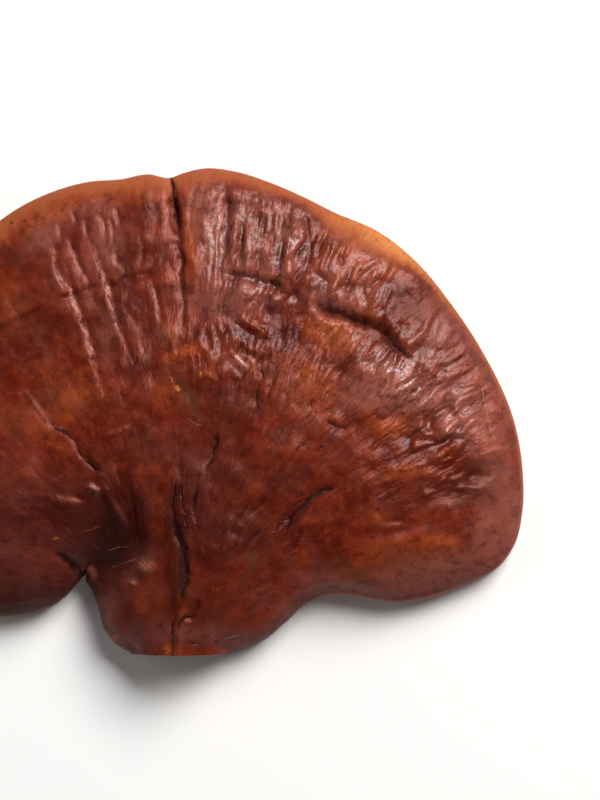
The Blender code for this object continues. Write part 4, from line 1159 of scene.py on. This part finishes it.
class FinishSheet(NodeSheet):
    """The sheet of one material, round its Principled shader, with the shared effects at hand."""

    def __init__(self, name: str, effects: Optional["Effects"] = None) -> None:
        """Start the material.

        Args:
            name: its name.
            effects: the shared node groups, where it uses them.
        """
        self.effects = effects
        self.material = bpy.data.materials.new(name)
        self.material.use_nodes = True
        super().__init__(self.material.node_tree)

    @cached_property
    def place(self) -> Socket:
        """Object coordinates."""
        return self.add("TexCoord").outputs["Object"]

    @cached_property
    def growth(self) -> Socket:
        """The Growth map."""
        return self.add("UVMap", uv_map="Growth").outputs["UV"]

    def mask(self, mask: Mask) -> Socket:
        """One of the piece's masks."""
        return self.add("Attribute", attribute_name=mask.value).outputs["Fac"]

    def drawn(self, x: float, y: float, scale: float, *detail: float) -> Socket:
        """Noise drawn out along the folds: of the Growth map, each coordinate times its own factor."""
        return self.noise(self.scaled(self.growth, x, y), scale, *detail)

    def mottle(self, vector: Any, scale: float, softness: float, first: Rgba, second: Rgba) -> Socket:
        """Two colours in soft uneven patches."""
        return self.use(self.effects.mottle, Vector=vector, Scale=scale, Softness=softness, First=first,
                        Second=second)

    def finish(self, inputs: dict[str, Any], height: Any = None) -> bpy.types.Material:
        """Feed the shader.

        Args:
            inputs: values by the shader's input.
            height: height of the bump in millimetres, if there is one.

        Returns:
            The material.
        """
        if height is not None:
            bump = self.add("Bump", {"Height": height, "Distance": MM, "Strength": 1.0})
            inputs = {**inputs, "Normal": bump.outputs[0]}
        shader = self.tree.nodes["Principled BSDF"]
        for name, value in inputs.items():
            self.feed(shader.inputs[name], value)
        return self.material


class Effects:
    """Node groups that more than one finish uses, each built once."""

    # Kind of those sockets that aren't plain numbers
    KINDS = {"Vector": "Vector", "First": "Color", "Second": "Color", "Colour": "Color"}

    def __init__(self) -> None:
        """Build the three groups."""
        self.folds = self.make_folds()
        self.grain = self.make_grain()
        self.mottle = self.make_mottle()

    def open_group(self, name: str, inputs: tuple[str, ...], output: str) -> tuple[NodeSheet, Any, Socket]:
        """Start a node group.

        Args:
            name: its name.
            inputs: names of its inputs.
            output: name of its output.

        Returns:
            The sheet to work on, the inputs' sockets, and the output's socket.
        """
        tree = bpy.data.node_groups.new(name, "ShaderNodeTree")
        for label in (*inputs, output):
            kind, way = self.KINDS.get(label, "Float"), "OUTPUT" if label == output else "INPUT"
            tree.interface.new_socket(label, in_out=way, socket_type="NodeSocket" + kind)
        given = tree.nodes.new("NodeGroupInput").outputs
        return NodeSheet(tree), given, tree.nodes.new("NodeGroupOutput").inputs[0]

    def make_folds(self) -> bpy.types.NodeTree:
        """Fine folds: twice the distance of swayed, stretched noise from its mean, sharp in the valleys.

        Returns:
            The group.
        """
        sheet, given, result = self.open_group("fine folds", ("Vector", "Across", "Along", "Sway"), "Height")
        bend = sheet.about_zero(sheet.noise(given["Vector"], 1.6))
        right, up, deep = sheet.add("SeparateXYZ", {0: given["Vector"]}).outputs
        across = sheet.times(sheet.times(bend, given["Sway"], right), given["Across"])
        along, deep = sheet.times(up, given["Along"]), sheet.times(deep, given["Across"])
        stretched = sheet.add("CombineXYZ", {0: across, 1: along, 2: deep}).outputs[0]
        wave = sheet.times(sheet.noise(stretched, 1.0, 2.0, 0.45), 2.0, -1.0)
        sheet.feed(result, sheet.times(sheet.sum("ABSOLUTE", wave), 2.0))
        return sheet.tree

    def make_grain(self) -> bpy.types.NodeTree:
        """Fine grain: rounded cells of one size with finer noise over them.

        Returns:
            The group.
        """
        sheet, given, result = self.open_group("fine grain", ("Vector", "Scale", "Cells"), "Height")
        cells = sheet.add("TexVoronoi", {"Vector": given["Vector"], "Scale": given["Scale"]})
        rough = sheet.noise(given["Vector"], sheet.times(given["Scale"], 1.7), 3.0, 0.6)
        sheet.feed(result, sheet.times(cells.outputs["Distance"], given["Cells"], rough))
        return sheet.tree

    def make_mottle(self) -> bpy.types.NodeTree:
        """Two colours in soft uneven patches: noise eased about its mean picks between them.

        Returns:
            The group.
        """
        inputs = ("Vector", "Scale", "Softness", "First", "Second")
        sheet, given, result = self.open_group("mottle", inputs, "Colour")
        cloud = sheet.noise(given["Vector"], given["Scale"], 4.0, 0.55, 0.4)
        low, high = (sheet.sum(side, 0.5, given["Softness"]) for side in ("SUBTRACT", "ADD"))
        sheet.feed(result, sheet.mix(sheet.ramp(cloud, low, high), given["First"], given["Second"]))
        return sheet.tree


@dataclass(frozen=True)
class LacqueredCrust:
    """The shrunken red-brown lacquer of the crust, with its pale growing edge, and painted shade, sheen and
    glints.
    """

    deep_red: Rgba = linear(82, 19, 6)
    red_brown: Rgba = linear(108, 34, 17)
    warm: Rgba = linear(150, 68, 34)
    # dark tone of spots and fibres, and painted shade in the hollow, along cracks, in hollows of the relief
    # and on the lower edges
    dusk: Rgba = linear(56, 14, 8)
    plum: Rgba = linear(82, 35, 29)
    # painted sheen: pale mauve where the lacquer catches the light
    bloom: Rgba = linear(142, 82, 70)
    orange: Rgba = linear(160, 72, 28)
    # pale tone of the painted glints, with some wear, and of the pale hairlines
    pale_wear_and_glint: Rgba = linear(176, 108, 92)
    edge_brown: Rgba = linear(136, 58, 30)
    edge_orange: Rgba = linear(146, 74, 39)
    # the growing edge where it is painted as sunlit
    edge_yellow: Rgba = linear(188, 116, 62)
    # dark flecks in the edge band, and painted shade on the lower edge
    edge_dark: Rgba = linear(92, 38, 30)
    yellow: Rgba = linear(190, 118, 50)
    olive: Rgba = linear(74, 42, 22)
    # painted shade in the bottoms of creases, and the palest tone of the dark hairlines
    crevice: Rgba = linear(52, 15, 9)
    # darkest tone of the hairlines, and painted shade where the dark mask lies
    ink: Rgba = linear(22, 6, 4)
    under_edge: Rgba = linear(178, 124, 80)
    sheen_tint: Rgba = (1.0, 0.42, 0.34, 1.0)
    coarse_mm: float = 0.48
    torn_mm: float = 0.34
    drawn_mm: float = 0.9
    lump_mm: float = 0.16
    grain_mm: float = 0.014
    line_mm: float = 0.12

    def make(self, effects: Effects) -> bpy.types.Material:
        """Build the material.

        Args:
            effects: the shared node groups.

        Returns:
            The material.
        """
        sheet = FinishSheet("lacquered crust", effects)
        wrinkle, sun = sheet.mask(Mask.WRINKLE), sheet.mask(Mask.SUN_AND_SHADE)
        streak = sheet.drawn(5.0, 0.9, 1.0, 3.0)
        broken = sheet.noise(sheet.place, 1100.0, 3.0, 0.6)
        flecks = sheet.drawn(1.0, 0.4, 9.0, 3.0, 0.6, 0.5)
        # painted glints, with some wear, broken into flecks
        flecked_wear_and_glint = sheet.times(sheet.mask(Mask.WEAR_AND_GLINT), sheet.ramp(flecks, 0.40, 0.58))
        border = sheet.times(sheet.noise(sheet.place, 120.0, 3.0), 1.5, sheet.times(streak, 1.3))
        edge = sheet.sum("ADD", sheet.sum("SUBTRACT", border, 1.4), sheet.mask(Mask.MARGIN))
        in_edge = sheet.ramp(edge, 0.7, 2.0, 1.0, 0.0)

        # painted light: the edge turns yellow where it is painted as sunlit
        edge_tone = sheet.mix(sun, self.edge_orange, self.edge_yellow)
        for value, low, high, strength, tone in (
            (edge, 0.2, 2.2, 1.0, self.edge_brown),
            (sheet.drawn(4.0, 1.2, 3.0, 5.0, 0.65), 0.48, 0.66, 0.55, self.edge_brown),
            (broken, 0.56, 0.74, 0.4, self.edge_dark),
            # painted shade on the lower edge
            (sun, -0.1, -1.0, 1.0, self.edge_dark),
        ):
            edge_tone = sheet.tint(edge_tone, value, low, high, strength, tone)
        colour = sheet.mix(in_edge, self.tone(sheet, streak), edge_tone)
        # painted glints, with some wear, laid over the colour
        colour = sheet.mix(sheet.times(flecked_wear_and_glint, 0.78), colour, self.pale_wear_and_glint)
        colour, carved = self.draw_lines(sheet, self.add_stains_and_shade(sheet, colour, broken))
        colour = sheet.tint(colour, sheet.mask(Mask.UNDER), 0.55, 1.0, 1.0, self.under_edge)

        matt = sheet.sum("MAXIMUM", in_edge, sheet.ramp(sheet.mask(Mask.EDGE), 0.5, 5.0, 1.0, 0.0))
        matt = sheet.sum("MAXIMUM", matt, sheet.ramp(sheet.mask(Mask.CREVICE), 0.02, 0.4))
        matt = sheet.sum("MAXIMUM", matt, sheet.ramp(sheet.mask(Mask.DARK), 0.1, 0.5))
        satin = sheet.times(sheet.about_zero(broken), 0.2, sheet.ramp(wrinkle, 0.0, 1.0, 0.34, 0.29))
        wet = sheet.times(sheet.mask(Mask.GLOSS), 0.5, sheet.ramp(wrinkle, 0.25, 0.9, 0.0, 0.38))
        wet = sheet.times(sheet.times(flecked_wear_and_glint, 0.3, wet), sheet.ramp(broken, 0.36, 0.62, 0.1, 1.0))
        height = sheet.times(carved, -self.line_mm, self.crumple(sheet))
        return sheet.finish({
            "Base Color": colour,
            "Roughness": sheet.times(matt, 0.32, satin),
            "Coat Weight": sheet.times(wet, sheet.ramp(matt, 0.2, 1.0, 1.0, 0.0)),
            "Coat Roughness": 0.24,
            "Specular IOR Level": 0.27,
            "Specular Tint": self.sheen_tint,
        }, height)

    def crumple(self, sheet: FinishSheet) -> Socket:
        """Height of the finest wrinkles and grain, in millimetres.

        Args:
            sheet: the material's sheet.

        Returns:
            The height.
        """
        wrinkle = sheet.mask(Mask.WRINKLE)
        folds = sheet.use(sheet.effects.folds, Vector=sheet.growth, Across=3.6, Along=0.9, Sway=0.35)
        height = sheet.times(folds, self.coarse_mm)
        height = sheet.times(sheet.drawn(1.0, 0.3, 8.0, 2.0, 0.5, 0.4), self.torn_mm, height)
        height = sheet.times(sheet.drawn(1.0, 0.35, 3.6, 1.5, 0.5, 0.3), self.drawn_mm, height)
        off_edge = sheet.ramp(sheet.mask(Mask.MARGIN), 0.7, 2.2)
        height = sheet.times(height, sheet.times(sheet.times(wrinkle, 0.97, 0.03), off_edge))
        lumps = sheet.noise(sheet.place, 330.0, 2.5, 0.5)
        height = sheet.times(lumps, sheet.times(wrinkle, 0.4, self.lump_mm), height)
        rough = sheet.sum("MAXIMUM", sheet.mask(Mask.WEAR_AND_GLINT), wrinkle)
        grain = sheet.use(sheet.effects.grain, Vector=sheet.place, Scale=1700.0, Cells=0.6)
        return sheet.times(grain, sheet.times(rough, 0.03, self.grain_mm), height)

    def tone(self, sheet: FinishSheet, streak: Any) -> Socket:
        """Reds and browns of the lacquer away from its edge.

        Args:
            sheet: the material's sheet.
            streak: noise stretched along the folds.

        Returns:
            The colour.
        """
        place, ridge = sheet.place, sheet.mask(Mask.RIDGE)
        colour = sheet.mottle(place, 95.0, 0.12, self.deep_red, self.red_brown)
        patchy = sheet.noise(sheet.scaled(place, z=2.0), 130.0, 3.0, 0.6, 0.5)
        colour = sheet.tint(colour, patchy, 0.48, 0.66, 0.7, self.plum)
        colour = sheet.tint(colour, ridge, 0.0, 1.0, 0.3, self.orange)
        spots = sheet.noise(place, 300.0, 4.0, 0.68)
        spotted = sheet.ramp(sheet.mask(Mask.SMOOTH), 0.0, 0.8, 1.0, 0.6)
        pale = sheet.times(spotted, sheet.ramp(spots, 0.50, 0.34, 0.0, 0.25))
        colour = sheet.mix(pale, colour, self.warm)
        uneven = sheet.times(sheet.about_zero(sheet.noise(place, 260.0, 4.0, 0.6)), 1.5)
        # tints: the dusk tint is partly painted shade, in the hollow, along cracks and on the lower edges,
        # and the mauve tint is painted sheen
        for mask, tone, strength in (
            (Mask.WARM, self.warm, 0.9), (Mask.PLUM, self.plum, 0.85), (Mask.DUSK, self.dusk, 0.85),
            (Mask.PAINTED_SHEEN, self.bloom, 0.52),
        ):
            share = sheet.times(sheet.sum("ADD", uneven, 1.0), sheet.mask(mask))
            colour = sheet.tint(colour, share, 0.0, 1.0, strength, tone)
        # painted shade: darker in the hollows of the relief
        colour = sheet.tint(colour, ridge, 0.0, -1.0, 0.45, self.dusk)
        dark = sheet.times(spotted, sheet.ramp(spots, 0.50, 0.66, 0.0, 0.58))
        colour = sheet.mix(dark, colour, self.dusk)
        fibres = sheet.drawn(1.0, 0.5, 4.0, 4.0, 0.65, 0.8)
        for value, low, high, strength, tone in (
            (sheet.noise(place, 1400.0, 3.0, 0.7), 0.52, 0.70, 0.32, self.dusk),
            (streak, 0.5, 0.8, 0.25, self.plum),
            (fibres, 0.50, 0.66, 0.3, self.dusk),
            (fibres, 0.48, 0.34, 0.12, self.warm),
        ):
            colour = sheet.tint(colour, value, low, high, strength, tone)
        return colour

    def draw_lines(self, sheet: FinishSheet, colour: Any) -> tuple[Socket, Socket]:
        """Painted shade in the bottoms of the creases, and the dark and pale hairlines.

        A hairline is where the distance from its line, made a little uneven, is less than a width that
        grows with its strength.

        Args:
            sheet: the material's sheet.
            colour: the colour below the lines.

        Returns:
            The colour with the lines in it, and how far each point is carved by a dark line, below 0 where
            a pale one stands up.
        """
        ink = sheet.mask(Mask.INK)
        strength = sheet.sum("ABSOLUTE", ink)
        wander = sheet.times(sheet.about_zero(sheet.noise(sheet.place, 450.0, 2.0, 0.5)), 1.6)
        away = sheet.sum("ABSOLUTE", sheet.sum("ADD", sheet.mask(Mask.SIDE), wander))
        swell = sheet.ramp(sheet.noise(sheet.place, 330.0, 3.0, 0.6), 0.36, 0.64, 0.4, 1.7)
        width = sheet.times(sheet.times(strength, 0.24, 0.06), swell)
        inside = sheet.ramp(away, sheet.times(width, 0.15), sheet.times(width, 1.45), 1.0, 0.0)
        inside = sheet.times(inside, sheet.ramp(strength, 0.0, 0.9))
        # painted shade in the bottoms of the creases
        colour = sheet.tint(colour, sheet.mask(Mask.CREVICE), 0.1, 1.0, 0.85, self.crevice)
        is_dark = sheet.sum("GREATER_THAN", ink, 0.0)
        dark_tone = sheet.tint(self.crevice, strength, 0.4, 1.6, 1.0, self.ink)
        line_tone = sheet.mix(is_dark, self.pale_wear_and_glint, dark_tone)
        carved = sheet.times(inside, sheet.times(is_dark, 1.5, -0.5))
        return sheet.mix(sheet.times(inside, 0.9), colour, line_tone), carved

    def add_stains_and_shade(self, sheet: FinishSheet, colour: Any, broken: Any) -> Socket:
        """Orange, olive and yellow stains, and the painted shade of the dark mask, their borders broken up
        by noise.

        Args:
            sheet: the material's sheet.
            colour: the colour below the stains.
            broken: fine noise.

        Returns:
            The stained and shaded colour.
        """
        uneven = sheet.about_zero(broken)
        for mask, tone, strength in (
            (Mask.ORANGE, self.orange, 0.85), (Mask.OLIVE, self.olive, 0.85),
            # the dark mask paints shade
            (Mask.YELLOW, self.yellow, 0.9), (Mask.DARK, self.ink, 0.85),
        ):
            shifted = sheet.times(uneven, 0.9, sheet.mask(mask))
            colour = sheet.tint(colour, shifted, 0.25, 0.8, strength, tone)
        return colour


@dataclass(frozen=True)
class PoreFace:
    """The tan underside with its close-set pores and smoother border."""

    tan: Rgba = linear(178, 138, 98)
    brown: Rgba = linear(146, 104, 68)
    border: Rgba = linear(190, 148, 104)
    pore: Rgba = linear(86, 54, 34)

    def make(self, effects: Effects) -> bpy.types.Material:
        """Build the material.

        Args:
            effects: the shared node groups.

        Returns:
            The material.
        """
        sheet = FinishSheet("pore face", effects)
        colour = sheet.mottle(sheet.place, 38.0, 0.16, self.tan, self.brown)
        cells = sheet.add("TexVoronoi", {"Vector": sheet.place, "Scale": 2300.0, "Randomness": 0.7})
        inner = sheet.ramp(sheet.mask(Mask.EDGE), 1.0, 6.0)
        pores = sheet.times(sheet.ramp(cells.outputs["Distance"], 0.22, 0.42, 1.0, 0.0), inner)
        colour = sheet.mix(sheet.ramp(inner, 0.0, 1.0, 0.8, 0.0), colour, self.border)
        colour = sheet.mix(sheet.times(pores, 0.8), colour, self.pore)
        grain = sheet.use(sheet.effects.grain, Vector=sheet.place, Scale=700.0, Cells=0.3)
        height = sheet.times(pores, -0.12, sheet.times(grain, 0.05))
        return sheet.finish({"Base Color": colour, "Roughness": 0.85}, height)


@dataclass(frozen=True)
class CutFlesh:
    """The sawn face of the stub: corky flesh with its rings, the tubes below it and the crust's rind."""

    cork: Rgba = linear(158, 110, 70)
    dark_cork: Rgba = linear(118, 74, 44)
    tube: Rgba = linear(96, 60, 38)
    rind: Rgba = linear(52, 20, 14)
    rind_mm: float = 0.9
    tube_layer_mm: float = 6.5

    def make(self, effects: Effects) -> bpy.types.Material:
        """Build the material.

        Args:
            effects: the shared node groups.

        Returns:
            The material.
        """
        sheet = FinishSheet("cut flesh", effects)
        place, layer = sheet.place, self.tube_layer_mm * MM
        colour = sheet.mottle(sheet.scaled(place, z=3.0), 120.0, 0.2, self.cork, self.dark_cork)
        upright = sheet.scaled(place, 1.0 / CM, 1.0 / CM, 1.0 / CM)
        fibres = sheet.use(sheet.effects.folds, Vector=upright, Across=16.0, Along=1.0, Sway=0.2)
        high = sheet.add("SeparateXYZ", {0: place}).outputs[2]
        wavy = sheet.times(sheet.noise(place, 160.0), 2.0 * MM, high)
        colour = sheet.mix(sheet.ramp(wavy, 0.9 * layer, 1.1 * layer, 0.85, 0.0), colour, self.tube)
        colour = sheet.mix(sheet.ramp(fibres, 0.0, 0.5, 0.45, 0.0), colour, self.dark_cork)
        rind = sheet.ramp(sheet.mask(Mask.BELOW), 0.6 * self.rind_mm, 1.3 * self.rind_mm, 1.0, 0.0)
        grain = sheet.use(sheet.effects.grain, Vector=place, Scale=1500.0, Cells=0.5)
        height = sheet.times(fibres, 0.15, sheet.times(grain, 0.08))
        return sheet.finish({"Base Color": sheet.mix(rind, colour, self.rind), "Roughness": 0.8}, height)


@dataclass(frozen=True)
class Softbox:
    """A square soft light that faces the mushroom."""

    name: str
    place: tuple[float, float, float]
    size: float
    radiance: float

    def hang(self) -> None:
        """Add the light, its power worked out from how bright its face is to look."""
        lamp = bpy.data.lights.new(self.name, "AREA")
        lamp.shape = "SQUARE"
        lamp.size = self.size
        lamp.energy = self.radiance * math.pi * self.size ** 2
        holder = bpy.data.objects.new(self.name, lamp)
        holder.location = self.place
        holder.rotation_euler = (-Vector(self.place)).to_track_quat("-Z", "Y").to_euler()
        bpy.context.scene.collection.objects.link(holder)


@dataclass(frozen=True)
class Studio:
    """Pale floor, soft lights and the camera straight above."""

    floor_colour: Rgba = linear(240, 238, 236)
    floor_side: float = 14.0
    floor_drop: float = 0.0002
    haze: float = 0.05
    backdrop: float = 0.9
    view_height: float = 0.232  # what the picture's height spans at the pore face
    aim: tuple[float, float] = (0.0305, 0.0030)
    distance: float = 1.3
    sensor: float = 36.0
    lights: tuple[Softbox, ...] = (
        Softbox("key softbox", (0.93, 1.27, 1.55), 1.3, 15.0),
        Softbox("left fill", (-1.9, 0.5, 1.1), 1.4, 1.1),
        Softbox("front fill", (0.3, -2.0, 1.1), 1.4, 0.9),
    )

    def lay_floor(self) -> None:
        """Lay the pale floor just below the pore face."""
        half = 0.5 * self.floor_side
        corners = [(-half, -half), (half, -half), (half, half), (-half, half)]
        mesh = bpy.data.meshes.new("floor")
        mesh.from_pydata([(x, y, -self.floor_drop) for x, y in corners], [], [(0, 1, 2, 3)])
        floor = bpy.data.objects.new("floor", mesh)
        bpy.context.scene.collection.objects.link(floor)
        look = {"Base Color": self.floor_colour, "Roughness": 0.9, "Specular IOR Level": 0.1}
        mesh.materials.append(FinishSheet("pale floor").finish(look))

    def light_world(self) -> None:
        """Give the surroundings a weak even light, and a pale look where the camera sees them."""
        world = bpy.data.worlds.new("studio")
        world.use_nodes = True
        sheet = NodeSheet(world.node_tree)
        seen = sheet.add("LightPath").outputs["Is Camera Ray"]
        background = world.node_tree.nodes["Background"]
        background.inputs["Color"].default_value = (1.0, 1.0, 1.0, 1.0)
        sheet.feed(background.inputs["Strength"], sheet.ramp(seen, 0.0, 1.0, self.haze, self.backdrop))
        bpy.context.scene.world = world

    def set_camera(self) -> None:
        """Look straight down from the height at which the picture spans view_height."""
        data = bpy.data.cameras.new("camera")
        data.sensor_width = self.sensor
        data.lens = self.sensor * self.distance / self.view_height
        camera = bpy.data.objects.new("camera", data)
        camera.location = (*self.aim, self.distance)
        bpy.context.scene.collection.objects.link(camera)
        bpy.context.scene.camera = camera

    def build(self) -> None:
        """Set up the floor, the lights and the camera."""
        self.lay_floor()
        self.light_world()
        for light in self.lights:
            light.hang()
        self.set_camera()
        bpy.context.scene.view_settings.view_transform = "Standard"
        log.info("studio: floor, %d softboxes, camera", len(self.lights))


def main() -> None:
    """Load the solid, build and dress the piece that stands for it, and set up the studio."""
    logging.basicConfig(level=logging.INFO, format="%(name)s: %(message)s")
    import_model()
    piece = Mushroom().build()
    effects = Effects()
    finishes = {
        Surface.CRUST: LacqueredCrust(),
        Surface.PORES: PoreFace(),
        Surface.CUT: CutFlesh(),
    }
    for surface in sorted(finishes):
        piece.data.materials.append(finishes[surface].make(effects))
    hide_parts("mushroom")
    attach(piece, "root")
    Studio().build()


if __name__ == "__main__":
    main()
